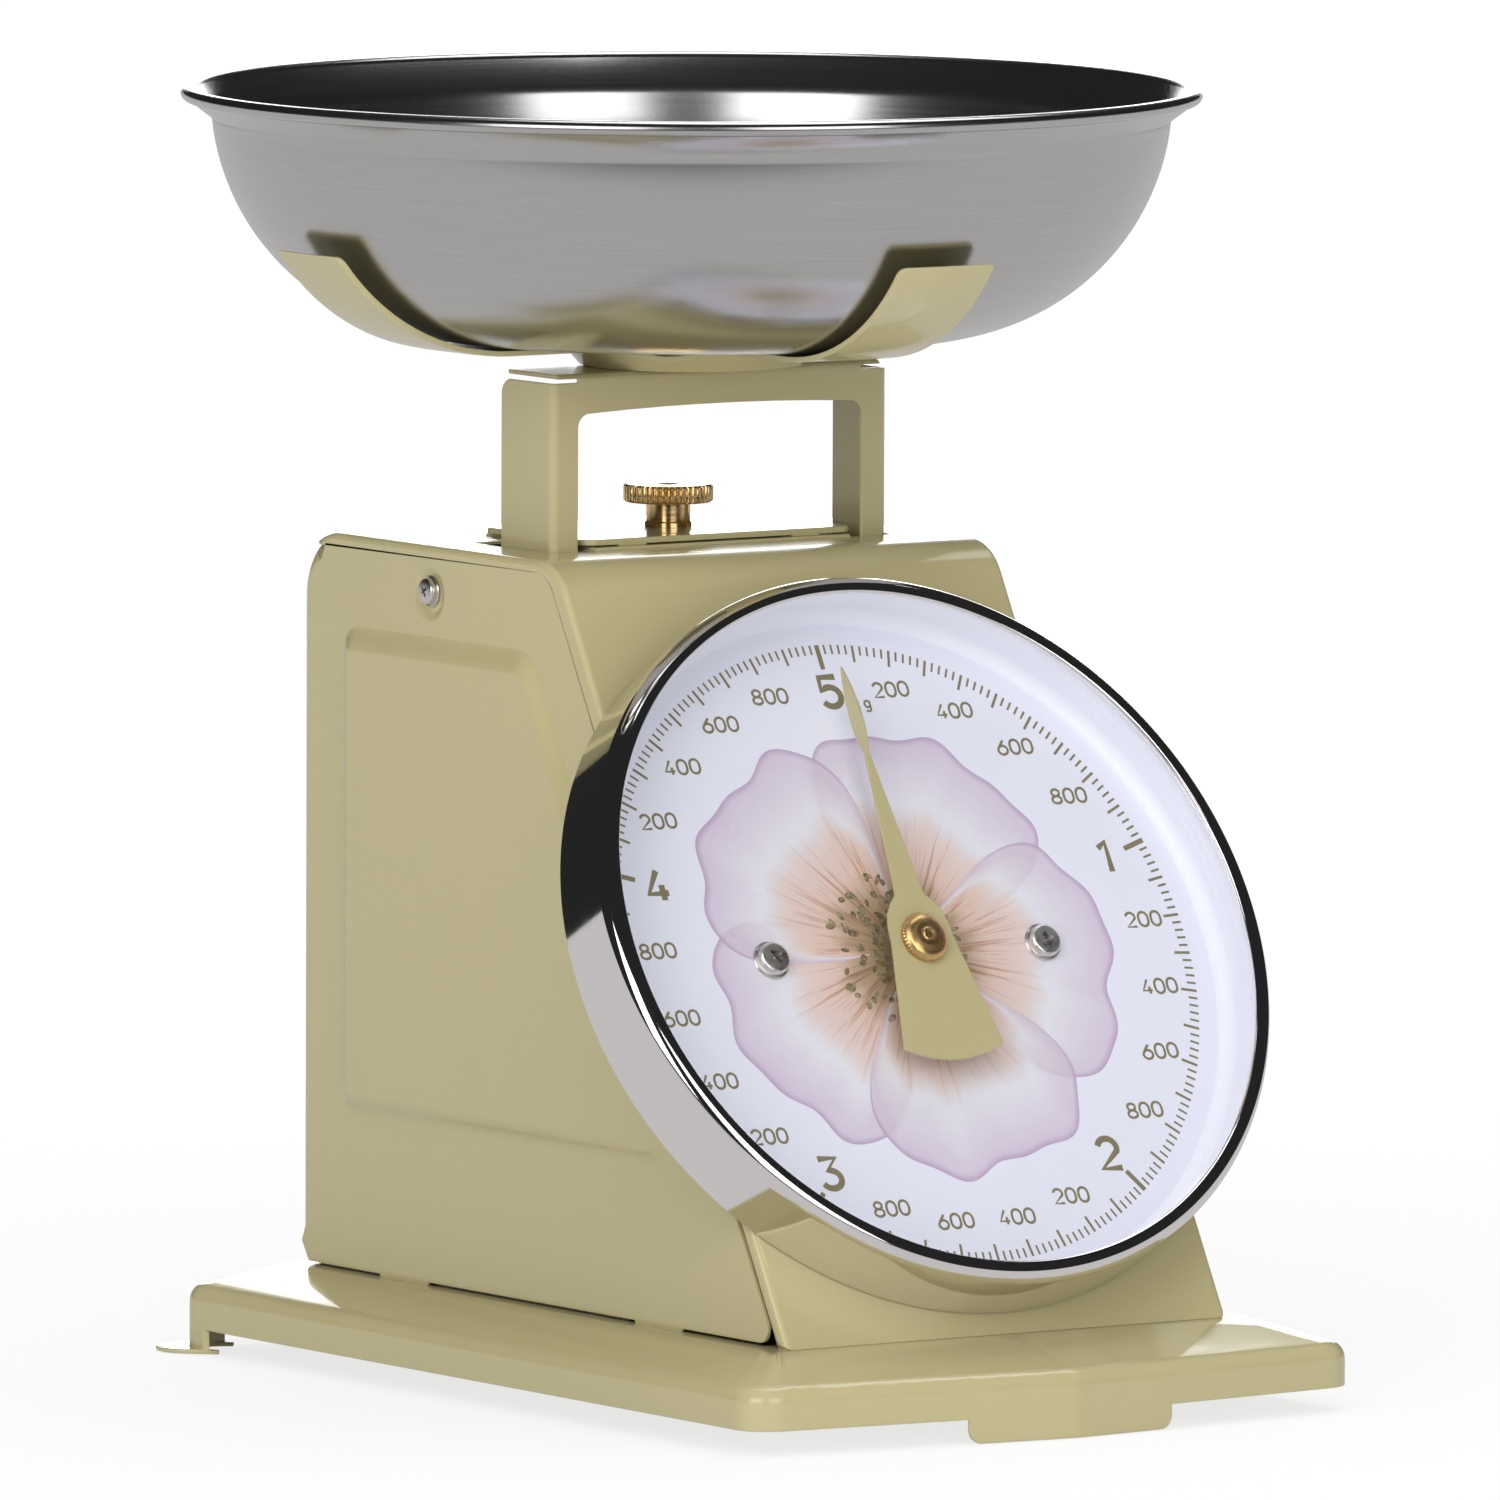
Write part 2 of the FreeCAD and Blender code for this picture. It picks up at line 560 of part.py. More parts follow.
def frame_screw_places():
    side = value("frame_screw_side")
    front, rear = -value("frame_screw_front"), value("frame_screw_rear")
    return [(side, front), (-side, front), (side, rear), (-side, rear)]


def build_inner_frame():
    """One folded sheet: a floor and two uprights that carry the lever axles."""
    body = new_body("inner_frame")
    floor = "(tray_top + frame_sheet)"
    outline = [
        ("-frame_front", "tray_top"), ("frame_rear", "tray_top"), ("frame_rear", "body_top - rear_bend"),
        ("body_rear - rear_bend", "body_top - body_sheet - frame_gap"),
        ("cover_screw_back - 8", "body_top - body_sheet - frame_gap"),
        ("cover_screw_back - 8", "cover_screw_up - 10"),
        ("axle_back - 9", "upper_pin - axle_drop - 10"), ("axle_back - 9", floor),
        ("-frame_front", floor),
    ]
    pad(body, draw_outline(new_sketch(body, "YZ_Plane"), outline), f"2 * {FRAME_OUTSIDE}", symmetric=True)
    inner = f"({FRAME_OUTSIDE} - frame_sheet)"
    middle = draw_box(new_sketch(body, "XZ_Plane"), f"-{inner}", floor, inner, "body_top")
    pocket(body, middle, "4 * frame_rear", symmetric=True)
    holes = new_sketch(body, "YZ_Plane")
    draw_circle(holes, "axle_back", "upper_pin - axle_drop", "axle_radius")
    draw_circle(holes, "axle_back", "lower_pin - axle_drop", "axle_radius")
    draw_circle(holes, "cover_screw_back", "cover_screw_up", "screw_shank")
    pocket(body, holes, "2 * body_half_width", symmetric=True)
    screws = new_sketch(body, "XY_Plane", "tray_top + frame_sheet")
    for side in ("frame_screw_side", "-frame_screw_side"):
        draw_circle(screws, side, "-frame_screw_front", "screw_shank")
        draw_circle(screws, side, "frame_screw_rear", "screw_shank")
    pocket(body, screws, "frame_sheet")
    keep(body, "inner_frame")


def build_frame_screws():
    """Four screws up through the tray into the inner frame."""
    screws = []
    head = "(tray_top - tray_sheet)"
    for side in ("frame_screw_side", "-frame_screw_side"):
        for back in ("-frame_screw_front", "frame_screw_rear"):
            cap = rod("screw_head", f"{head} - screw_head_height", head, side, back)
            shank = rod("screw_shank", f"{head} - 0.5", "tray_top + frame_sheet + 2", side, back)
            screws.append(fused([cap, shank]))
    keep(grouped(screws), "frame_screws")


def build_stop_pads():
    """Rubber pads on the frame's floor that stop the bracket at full load."""
    top = f"bracket_foot - {TRAVEL} - stop_gap"
    side = "(bracket_half_width - bracket_sheet / 2)"
    floor = "tray_top + frame_sheet"
    pads = [rod("pad_radius", floor, top, across, "pin_back") for across in (side, f"-{side}")]
    keep(grouped(pads), "stop_pads")


def build_lever_axles():
    rods = []
    for level in ("upper_pin - axle_drop", "lower_pin - axle_drop"):
        rods.append(rod("axle_radius", f"-{FRAME_OUTSIDE}", FRAME_OUTSIDE, "axle_back", level, "x"))
    keep(grouped(rods), "lever_axles")


# ---------------------------------------------------------------- housing

def side_path(inset, drop, front_round, foot):
    """The housing's side line from the face's foot to its top, drawn in by inset and drop."""
    top = f"(body_top - ({drop}))"
    reach = f"(({front_round}) * tan((90 - face_slope) / 2))"
    fold = face_back(top, inset)
    return [
        (face_back(foot, inset), foot),
        (f"{fold} - {reach} * sin(face_slope)", f"{top} - {reach} * cos(face_slope)", f"-({front_round})"),
        (f"{fold} + {reach}", top),
    ]


def rear_side(radius, level):
    """How far back the rear bend of this radius stands at a level."""
    return f"(body_rear - rear_bend + sqrt(({radius})^2 - ({level} - body_top + rear_bend)^2))"


def way_back(path):
    """The same line walked the other way, with its arcs turning the other way."""
    back = []
    for index in range(len(path) - 1, -1, -1):
        leads = path[index - 1] if index > 0 else None
        point = tuple(path[index][:2])
        if leads is not None and len(leads) == 3:
            point += (leads[2][1:],)
        back.append(point)
    return back


def build_front_panel():
    """The sloping face and the top, in one sheet with side lips and a short tail at the back."""
    body = new_body("front_panel")
    tail, flat_end, inner_bend = "(body_top - top_lip)", "body_rear - rear_bend", "(rear_bend - body_sheet)"
    outer = side_path("0", "0", "front_bend", "tray_top") + [
        (flat_end, "body_top", "-(rear_bend)"), (rear_side("rear_bend", tail), tail),
    ]
    inner = side_path("body_sheet", "body_sheet", "front_bend - body_sheet", "tray_top") + [
        (flat_end, "body_top - body_sheet", f"-({inner_bend})"), (rear_side(inner_bend, tail), tail),
    ]
    lip = side_path("lip", "top_lip", "cover_corner", "tray_top")
    sheet = draw_outline(new_sketch(body, "YZ_Plane"), outer + way_back(inner))
    pad(body, sheet, "2 * body_half_width", symmetric=True)
    for side, backwards in ((BODY_INSIDE, False), (f"-{BODY_INSIDE}", True)):
        edge = draw_outline(new_sketch(body, "YZ_Plane", side), outer + way_back(lip))
        pad(body, edge, "body_sheet", backwards=backwards)
    far = "(bracket_half_width + slot_gap)"
    near = "(bracket_half_width - leg_width - slot_inner_gap)"
    field = f"({near} - body_sheet)"
    field_front = "(knob_back - plate_half_depth - field_margin)"
    field_rear = "(knob_back + plate_half_depth + field_margin)"
    raised = draw_box(new_sketch(body, "XY_Plane", "body_top"), f"-{field}", field_front, field, field_rear)
    pad(body, raised, "field_rise")
    room = draw_box(new_sketch(body, "XY_Plane", "body_top - body_sheet"), f"-{field} + body_sheet",
                    f"{field_front} + body_sheet", f"{field} - body_sheet", f"{field_rear} - body_sheet")
    pocket(body, room, "field_rise", backwards=True)
    slots = new_sketch(body, "XY_Plane", "body_top")
    front, rear = "(-bracket_front - slot_gap)", "(bracket_depth - bracket_front + slot_rear_gap)"
    for sign in ("", "-"):
        draw_box(slots, sign + near, front, sign + far, rear)
    draw_circle(slots, "0", "knob_back", "knob_shank + 1")
    pocket(body, slots, "4 * body_sheet", symmetric=True)
    holes = new_sketch(body, "XY_Plane", on_dial=True)
    draw_circle(holes, "0", "0", "bush_radius + fit_gap")
    draw_circle(holes, "dial_screw_side", "0", "dial_screw_shank + 0.1")
    draw_circle(holes, "-dial_screw_side", "0", "dial_screw_shank + 0.1")
    pocket(body, holes, "4 * body_sheet", symmetric=True)
    keep(body, "front_panel")


def build_rear_cover():
    """The two sides and the back in one sheet, standing on four tabs."""
    body = new_body("rear_cover")
    foot, top = "(tray_top + cover_lift)", "(body_top - top_lip - seam)"
    bend_start, inner_bend = "body_top - rear_bend", "(rear_bend - body_sheet)"
    outline = side_path("lip + seam", "top_lip + seam", "cover_corner", foot) + [
        (rear_side("rear_bend", top), top, "-(rear_bend)"), ("body_rear", bend_start), ("body_rear", foot),
        ("rear_tab_far", foot), ("rear_tab_far", "tray_top"),
        ("rear_tab_near", "tray_top"), ("rear_tab_near", foot),
        ("-front_tab_far", foot), ("-front_tab_far", "tray_top"),
        ("-front_tab_near", "tray_top"), ("-front_tab_near", foot),
    ]
    pad(body, draw_outline(new_sketch(body, "YZ_Plane"), outline), "2 * body_half_width", symmetric=True)
    back = "(body_rear - body_sheet)"
    hollow = [
        ("-2 * face_foot", "0"), (back, "0"), (back, bend_start, inner_bend),
        (rear_side(inner_bend, top), top), (rear_side(inner_bend, top), "body_top"),
        ("-2 * face_foot", "body_top"),
    ]
    pocket(body, draw_outline(new_sketch(body, "YZ_Plane"), hollow), f"2 * {BODY_INSIDE}", symmetric=True)

    def stands_at(across, along):
        def is_upright_edge(edge):
            ends = [vertex.Point for vertex in edge.Vertexes]
            at_corner = all(abs(p.y - along) < 1e-6 and abs(abs(p.x) - across) < 1e-6 for p in ends)
            return at_corner and abs(ends[0].z - ends[-1].z) > 1
        return is_upright_edge

    fillet(body, "cover_bend - body_sheet", stands_at(value(BODY_INSIDE), value(back)))
    fillet(body, "cover_bend", stands_at(value("body_half_width"), value("body_rear")))
    holes = new_sketch(body, "YZ_Plane")
    draw_circle(holes, "cover_screw_back", "cover_screw_up", "screw_shank + 0.2")
    pocket(body, holes, "4 * body_half_width", symmetric=True)
    keep(body, "rear_cover")


def build_cover_screws():
    """One screw in each side, through the rear cover into the inner frame."""
    screws = []
    head, end = "body_half_width", f"{FRAME_OUTSIDE} - frame_sheet - 2"
    for sign in (1, -1):
        cap_ends = (head, f"{head} + screw_head_height")
        stem_ends = (end, f"{head} + 0.5")
        if sign < 0:
            cap_ends = (f"-({cap_ends[1]})", f"-({cap_ends[0]})")
            stem_ends = (f"-({stem_ends[1]})", f"-({stem_ends[0]})")
        cap = rod("screw_head", *cap_ends, "cover_screw_back", "cover_screw_up", "x")
        stem = rod("screw_shank", *stem_ends, "cover_screw_back", "cover_screw_up", "x")
        screws.append(fused([cap, stem]))
    keep(grouped(screws), "cover_screws")


def build_adjuster_plate():
    """A plate on the housing's raised field, with turned-down edges, that carries the zero knob."""
    low = f"({PLATE_SEAT} + plate_lift)"
    body = new_body("adjuster_plate")
    near, far = "-plate_half_depth", "plate_half_depth"
    taper = "(plate_half_length - 6)"
    outline = [
        (f"-{taper}", near), (taper, near), ("plate_half_length", f"{near} + 3"),
        ("plate_half_length", f"{far} - 3"), (taper, far), (f"-{taper}", far),
        ("-plate_half_length", f"{far} - 3"), ("-plate_half_length", f"{near} + 3"),
    ]
    sketch = draw_outline(new_sketch(body, "XY_Plane", low), outline)
    draw_circle(sketch, "0", "0", "knob_shank + running_gap")
    pad(body, sketch, "plate_sheet")
    rims, feet = new_sketch(body, "XY_Plane", low), new_sketch(body, "XY_Plane", low)
    for edge in ("", "-"):
        inner, outer = f"{edge}(plate_half_depth - plate_sheet)", f"{edge}plate_half_depth"
        draw_box(rims, f"-{taper}", inner, taper, outer)
        for sign in ("", "-"):
            draw_box(feet, f"{sign}plate_foot_near", inner, f"{sign}plate_foot_far", outer)
    pad(body, rims, "plate_rim", backwards=True)
    pad(body, feet, "plate_lift", backwards=True)
    keep(body, "adjuster_plate", back="knob_back")


# ---------------------------------------------------------------- bowl and its bracket

def build_bowl():
    """A turned sheet bowl: flat bottom, round wall, flared lip and rolled rim."""
    foot, bend, sheet = "bowl_foot_radius", "bowl_bend", "bowl_sheet"
    wall = f"({foot} + sqrt({bend}^2 - ({bend} - bowl_wall_rise)^2))"
    wall_in = f"({foot} + sqrt(({bend} - {sheet})^2 - ({bend} - bowl_wall_rise)^2))"
    lip = "(bowl_radius - 2 * rim_bead)"
    turned("bowl", [
        ("0", "0"), (foot, "0", bend), (wall, "bowl_wall_rise"),
        (f"{wall} + 0.6", "bowl_wall_rise + 2"), (lip, "rim_rise - rim_bead"),
        (f"{lip} + rim_bead", "rim_rise - rim_bead", "rim_bead"),
        ("bowl_radius", "rim_rise", "rim_bead"),
        (f"{lip} + rim_bead", "rim_rise + rim_bead", "rim_bead"),
        (lip, "rim_rise"), (f"{wall_in} + 0.6", "bowl_wall_rise + 2.4"),
        (wall_in, "bowl_wall_rise", f"-({bend} - {sheet})"), (foot, sheet), ("0", sheet),
    ], up="bowl_bottom")


def build_cradle():
    """A cross of four sprung arms that follow the bowl, with a sunk middle on the bracket."""
    rise = "(bowl_bottom - cradle_gap)"
    foot, bend = "(bowl_foot_radius + arm_stand_off)", "(bowl_bend + cradle_gap)"
    centre = "(bowl_bottom + bowl_bend)"
    tip = f"({foot} + sqrt({bend}^2 - ({centre} - arm_tip)^2))"
    tip_out = f"({foot} + sqrt(({bend} + cradle_sheet)^2 - ({centre} - arm_tip)^2))"
    well, step = "well_radius", "(well_radius + well_slope)"
    body = turned("cradle", [
        ("0", "bracket_top"), (well, "bracket_top"), (step, f"{rise} - cradle_sheet"),
        (foot, f"{rise} - cradle_sheet", f"{bend} + cradle_sheet"), (tip_out, "arm_tip"),
        (tip, "arm_tip", f"-{bend}"), (foot, rise), (step, rise),
        (well, "bracket_top + cradle_sheet"), ("0", "bracket_top + cradle_sheet"),
    ])
    corners = new_sketch(body, "XY_Plane", "bracket_top")
    for across in ("", "-"):
        for along in ("", "-"):
            near_x, near_y = f"{across}arm_half_width", f"{along}arm_half_width"
            inner_x, inner_y = f"{across}(well_radius + 1)", f"{along}(well_radius + 1)"
            far_x, far_y = f"{across}bowl_radius", f"{along}bowl_radius"
            draw_outline(corners, [
                (near_x, far_y), (near_x, inner_y), (inner_x, near_y), (far_x, near_y), (far_x, far_y),
            ])
    pocket(body, corners, "bowl_radius", symmetric=True)
    side, low = "arm_half_width", "(arm_tip - arm_round)"
    for plane in ("XZ_Plane", "YZ_Plane"):
        tips = new_sketch(body, plane)
        for sign, turn in (("", "arm_round"), ("-", "-arm_round")):
            draw_outline(tips, [
                (sign + side, low, turn), (f"{sign}({side} - arm_round)", "arm_tip"),
                (f"{sign}({side} - arm_round)", "arm_tip + 1"), (f"{sign}({side} + 1)", "arm_tip + 1"),
                (f"{sign}({side} + 1)", low),
            ])
        pocket(body, tips, "2 * bowl_radius", symmetric=True)
    rivets = new_sketch(body, "XY_Plane", "bracket_top")
    for side in ("rivet_spread", "-rivet_spread"):
        draw_circle(rivets, side, "0", "rivet_shank")
    pocket(body, rivets, "4 * cradle_sheet", symmetric=True)


def build_cradle_rivets():
    """Two rivets that hold the cradle on the bracket's top."""
    rivets = []
    low, high = "(bracket_top - bracket_sheet)", "(bracket_top + cradle_sheet)"
    for side in ("rivet_spread", "-rivet_spread"):
        upper = rod("rivet_head", high, f"{high} + rivet_head_height", side, "0")
        lower = rod("rivet_head", f"{low} - rivet_head_height", low, side, "0")
        shank = rod("rivet_shank", f"{low} - 0.5", f"{high} + 0.5", side, "0")
        rivets.append(fused([upper, shank, lower]))
    keep(grouped(rivets), "cradle_rivets")


def build_load_bracket():
    """A folded sheet portal: a front with two long legs, side flanges and a top."""
    body = new_body("load_bracket")
    front, rear = "-bracket_front", "(bracket_depth - bracket_front)"
    outer, inner = "bracket_half_width", "(bracket_half_width - bracket_sheet)"
    outline = draw_box(new_sketch(body, "XY_Plane", "bracket_foot"), f"-{outer}", front, outer, rear)
    pad(body, outline, "bracket_top - bracket_foot")
    edge_x, edge_y = value(outer), value(front)

    def is_front_edge(edge):
        return all(abs(abs(v.X) - edge_x) < 1e-6 and abs(v.Y - edge_y) < 1e-6 for v in edge.Vertexes)

    fillet(body, "bracket_bend", lambda edge: is_front_edge(edge) and edge.Length > edge_x)
    bend = "(bracket_bend - bracket_sheet)"
    inside = "(-bracket_front + bracket_sheet)"
    hollow = [
        (f"-{inner}", f"{rear} + 1"), (f"-{inner}", f"{inside} + {bend}", bend),
        (f"-{inner} + {bend}", inside), (f"{inner} - {bend}", inside, bend),
        (inner, f"{inside} + {bend}"), (inner, f"{rear} + 1"),
    ]
    room = draw_outline(new_sketch(body, "XY_Plane", "bracket_foot"), hollow)
    pocket(body, room, "bracket_top - bracket_foot - bracket_sheet", backwards=True)
    side, lower = "(bracket_half_width - leg_width)", "(bracket_foot - 1)"
    upper = "(bracket_top - beam_depth)"
    corner = "beam_corner"
    window = [
        (f"-{side}", lower), (side, lower), (side, f"{upper} - {corner}", corner),
        (f"{side} - {corner}", upper, "beam_arch"), (f"-{side} + {corner}", upper, corner),
        (f"-{side}", f"{upper} - {corner}"),
    ]
    pocket(body, draw_outline(new_sketch(body, "XZ_Plane"), window), "bracket_front + 3", backwards=True)
    slits = new_sketch(body, "XZ_Plane")
    under = "(bracket_top - bracket_sheet)"
    flange_top = f"({under} - flange_gap)"
    for sign in ("", "-"):
        draw_box(slits, f"{sign}({outer} - leg_width)", flange_top, f"{sign}({outer} + 1)", under)
        draw_box(slits, f"{sign}({outer} - top_margin)", under, f"{sign}({outer} + 1)", "bracket_top + 1")
    pocket(body, slits, "4 * bracket_depth", symmetric=True)
    shoulders = new_sketch(body, "YZ_Plane")
    draw_outline(shoulders, [
        (rear, f"{flange_top} - flange_round", "flange_round"), (f"{rear} - flange_round", flange_top),
        (f"{rear} - flange_round", under), (f"{rear} + 1", under),
        (f"{rear} + 1", f"{flange_top} - flange_round"),
    ])
    pocket(body, shoulders, "4 * bracket_half_width", symmetric=True)
    pins = new_sketch(body, "YZ_Plane")
    draw_circle(pins, "pin_back", "upper_pin", "pin_radius")
    draw_circle(pins, "pin_back", "lower_pin", "pin_radius")
    pocket(body, pins, "4 * bracket_half_width", symmetric=True)
    rivets = new_sketch(body, "XY_Plane", "bracket_top")
    for place in ("rivet_spread", "-rivet_spread"):
        draw_circle(rivets, place, "0", "rivet_shank")
    pocket(body, rivets, "2 * bracket_sheet")
    keep(body, "load_bracket")


def build_lever_pins():
    """Stub pins on the bracket's flanges, one for each end of each lever."""
    pins = []
    start, end = "(bracket_half_width - bracket_sheet)", "(lever_arm_in + lever_sheet + 1.5)"
    for level in ("upper_pin", "lower_pin"):
        pins.append(rod("pin_radius", start, end, "pin_back", level, "x"))
        pins.append(rod("pin_radius", f"-{end}", f"-{start}", "pin_back", level, "x"))
    keep(grouped(pins), "lever_pins")


def build_spring_bar():
    """A bar between the bracket's legs that the springs pull up."""
    side = "(bracket_half_width - bracket_sheet)"
    bar = box(f"-{side}", "bar_near", "bar_foot", side, "bar_far", "bar_foot + bar_height")
    low, high = "bar_foot - 1", "bar_foot + bar_height + 1"
    places = ("spring_side + spring_radius", "-spring_side + spring_radius")
    holes = [rod("spring_wire + fit_gap", low, high, across, "knob_back") for across in places]
    keep(cut(bar, grouped(holes)), "spring_bar")


def build_spring_hanger():
    """A bar on the zero screw that the springs hang from."""
    body = new_body("spring_hanger")
    sketch = new_sketch(body, "XY_Plane", "hanger_top - hanger_height")
    draw_box(sketch, "-hanger_half_length", "-hanger_half_depth", "hanger_half_length", "hanger_half_depth")
    draw_circle(sketch, "0", "0", "knob_shank + running_gap")
    draw_circle(sketch, "spring_side + spring_radius", "0", "spring_wire + fit_gap")
    draw_circle(sketch, "-spring_side + spring_radius", "0", "spring_wire + fit_gap")
    pad(body, sketch, "hanger_height")
    keep(body, "spring_hanger", back="knob_back")


def spring_shape(side):
    """A coil of whole turns with a straight tail at each end, through the hanger and the bar."""
    wire, radius, tail = value("spring_wire"), value("spring_radius"), value("spring_tail")
    low, high = value("bar_foot + bar_height"), value("hanger_top - hanger_height")
    height = high - low - 2 * tail
    turns = round(height / value("spring_pitch"))
    helix = Part.makeHelix(height / turns, height, radius)
    section = Part.Wire(Part.makeCircle(wire, Vector(radius, 0, 0), Vector(0, 1, 0)))
    spring = Part.Wire(helix.Edges).makePipeShell([section], True, True)
    spring.translate(Vector(side, 0, low + tail))
    tail_wire = wire - value("fit_gap")
    for foot, through in ((low - value("bar_height"), "bar_height"), (high - tail, "hanger_height")):
        end = Vector(side + radius, 0, foot)
        spring = spring.fuse(Part.makeCylinder(tail_wire, tail + value(through), end))
    return spring


def build_main_springs():
    side = value("spring_side")
    keep(made(Part.makeCompound([spring_shape(side), spring_shape(-side)])), "main_springs", back="knob_back")


def knurled_disc(radius, depth, grooves, low, high):
    """A disc with straight grooves all round its edge."""
    points = []
    for step in range(2 * grooves):
        angle = math.pi * step / grooves
        reach = radius - (depth if step % 2 else 0)
        points.append(Vector(reach * math.cos(angle), reach * math.sin(angle), low))
    return Part.Face(Part.makePolygon(points + points[:1])).extrude(Vector(0, 0, high - low))


def build_zero_knob():
    """A turned brass knob with a knurled head, and the screw that lifts the hanger."""
    foot, neck = value(PLATE_TOP), value("knob_neck")
    low, high = foot + neck, foot + neck + value("knob_head")
    head = knurled_disc(value("knob_radius"), value("knurl_depth"), KNURL_GROOVES, low, high)
    shank_foot = value("knob_shank_foot")
    stem = Part.makeCylinder(value("knob_neck_radius"), neck, Vector(0, 0, foot))
    shank = Part.makeCylinder(value("knob_shank"), foot - shank_foot, Vector(0, 0, shank_foot))
    keep(made(head.fuse([stem, shank])), "zero_knob", back="knob_back")


def build_knob_clip():
    """A ring on the zero screw, under the housing's top, that keeps the knob down."""
    top = "(body_top - body_sheet - 0.2)"
    turned("knob_clip", [
        ("knob_shank", f"{top} - 1"), ("knob_shank + 2.5", f"{top} - 1"),
        ("knob_shank + 2.5", top), ("knob_shank", top),
    ], back="knob_back")


# ---------------------------------------------------------------- levers

def build_lever(name, pin_level):
    """A forked lever from the frame's axle to the bracket's pins."""
    reach = "(axle_back - pin_back)"
    tilt = value(f"atan(axle_drop / {reach})")
    slot = f"(({reach} / cos(atan(axle_drop / {reach})) + {reach}) / 2)"
    body = new_body(name)
    half = "lever_half_height"
    outer = "(lever_arm_in + lever_sheet)"
    arms = [
        (f"-{slot}", half, half), (f"-{slot} - {half}", "0", half), (f"-{slot}", f"-{half}"),
        ("0", f"-{half}", half), (half, "0", half), ("0", half),
    ]
    pad(body, draw_outline(new_sketch(body, "YZ_Plane"), arms), f"2 * {outer}", symmetric=True)
    left, right = "-lever_arm_in", "lever_arm_in"
    gap = draw_box(new_sketch(body, "XY_Plane"), left, "-web_near", right, "2 * web_near")
    pocket(body, gap, f"4 * {half}", symmetric=True)
    front = draw_box(new_sketch(body, "XY_Plane"), left, "-2 * axle_back", right, "-web_near - web_depth")
    pocket(body, front, f"4 * {half}", symmetric=True)
    above = draw_box(new_sketch(body, "XZ_Plane"), left, f"lever_sheet - {half}", right, f"2 * {half}")
    pocket(body, above, "4 * axle_back", symmetric=True)
    holes = new_sketch(body, "YZ_Plane")
    draw_circle(holes, "0", "0", "axle_radius + running_gap")
    hole, play = "(pin_radius + running_gap)", "lever_slot_play"
    near, far = f"-{slot} - {play}", f"-{slot} + {play}"
    draw_outline(holes, [
        (near, hole, hole), (f"{near} - {hole}", "0", hole), (near, f"-{hole}"),
        (far, f"-{hole}", hole), (f"{far} + {hole}", "0", hole), (far, hole),
    ])
    pocket(body, holes, "4 * bracket_half_width", symmetric=True)
    body.Placement = FreeCAD.Placement(Vector(), FreeCAD.Rotation(Vector(-1, 0, 0), tilt))
    body.setExpression("Placement.Rotation.Angle", bound(f"atan(axle_drop / {reach})"))
    keep(body, name, back="axle_back", up=f"{pin_level} - axle_drop")


# ---------------------------------------------------------------- dial

def build_dial_pan():
    """A shallow pan on the face, with a raised ring that carries the dial plate."""
    rim = "(bezel_radius - bezel_sheet - fit_gap)"
    step_far, step_near = f"({DIAL_RADIUS} - 9)", f"({DIAL_RADIUS} - 19)"
    body = turned("dial_pan", [
        ("bush_flange + 0.5", "0"), (rim, "0"), (rim, "pan_rim"), (f"{rim} - pan_sheet", "pan_rim"),
        (f"{rim} - pan_sheet", "pan_sheet"), (step_far, "pan_sheet"), (step_far, "plate_level"),
        (step_near, "plate_level"), (step_near, "pan_sheet"), ("bush_flange + 0.5", "pan_sheet"),
    ], on_dial=True)
    holes = new_sketch(body, "XY_Plane")
    for side in ("dial_screw_side", "-dial_screw_side"):
        draw_circle(holes, side, "0", "dial_screw_shank + 0.1")
    pocket(body, holes, "4 * pan_sheet", symmetric=True)


def build_dial_plate():
    body = new_body("dial_plate")
    sketch = draw_circle(new_sketch(body, "XY_Plane", "plate_level"), "0", "0", DIAL_RADIUS)
    draw_circle(sketch, "0", "0", "shaft_radius + 1.5")
    for side in ("dial_screw_side", "-dial_screw_side"):
        draw_circle(sketch, side, "0", "dial_screw_shank + 0.1")
    pad(body, sketch, "dial_sheet")
    keep(body, "dial_plate", on_dial=True)


def build_dial_screws():
    """Two screws through the dial and the face into the bearing bridge."""
    screws = []
    seat = "(plate_level + dial_sheet)"
    for side in ("dial_screw_side", "-dial_screw_side"):
        head = rod("dial_screw_head", seat, f"{seat} + dial_screw_height", side, "0")
        shank = rod("dial_screw_shank", "-body_sheet - frame_sheet - 2", f"{seat} + 0.5", side, "0")
        screws.append(fused([head, shank]))
    keep(grouped(screws), "dial_screws", on_dial=True)


def build_bezel_ring():
    """A drawn ring whose front edge rolls over and down onto the lens."""
    inner = "(bezel_radius - bezel_sheet)"
    lip = "(bezel_radius - bezel_lip)"
    seat = "(lens_level + lens_sheet)"
    turned("bezel_ring", [
        (inner, "bezel_lift"), ("bezel_radius", "bezel_lift"),
        ("bezel_radius", "bezel_depth - bezel_round", "bezel_round"),
        ("bezel_radius - bezel_round", "bezel_depth"), (f"{lip} + 0.4", "bezel_depth", "0.4"),
        (lip, "bezel_depth - 0.4"), (lip, seat), (inner, seat),
    ], on_dial=True)


def build_lens():
    edge = "(bezel_radius - bezel_sheet - fit_gap)"
    top = "(lens_level + lens_sheet)"
    turned("lens", [("0", "lens_level"), (edge, "lens_level"), (edge, top), ("0", top)], on_dial=True)


def build_lens_ring():
    """A spacer ring between the dial pan's rim and the lens."""
    edge = "(bezel_radius - bezel_sheet - fit_gap)"
    inner = f"({edge} - pan_sheet)"
    turned("lens_ring", [
        (inner, "pan_rim"), (edge, "pan_rim"), (edge, "lens_level"), (inner, "lens_level"),
    ], on_dial=True)


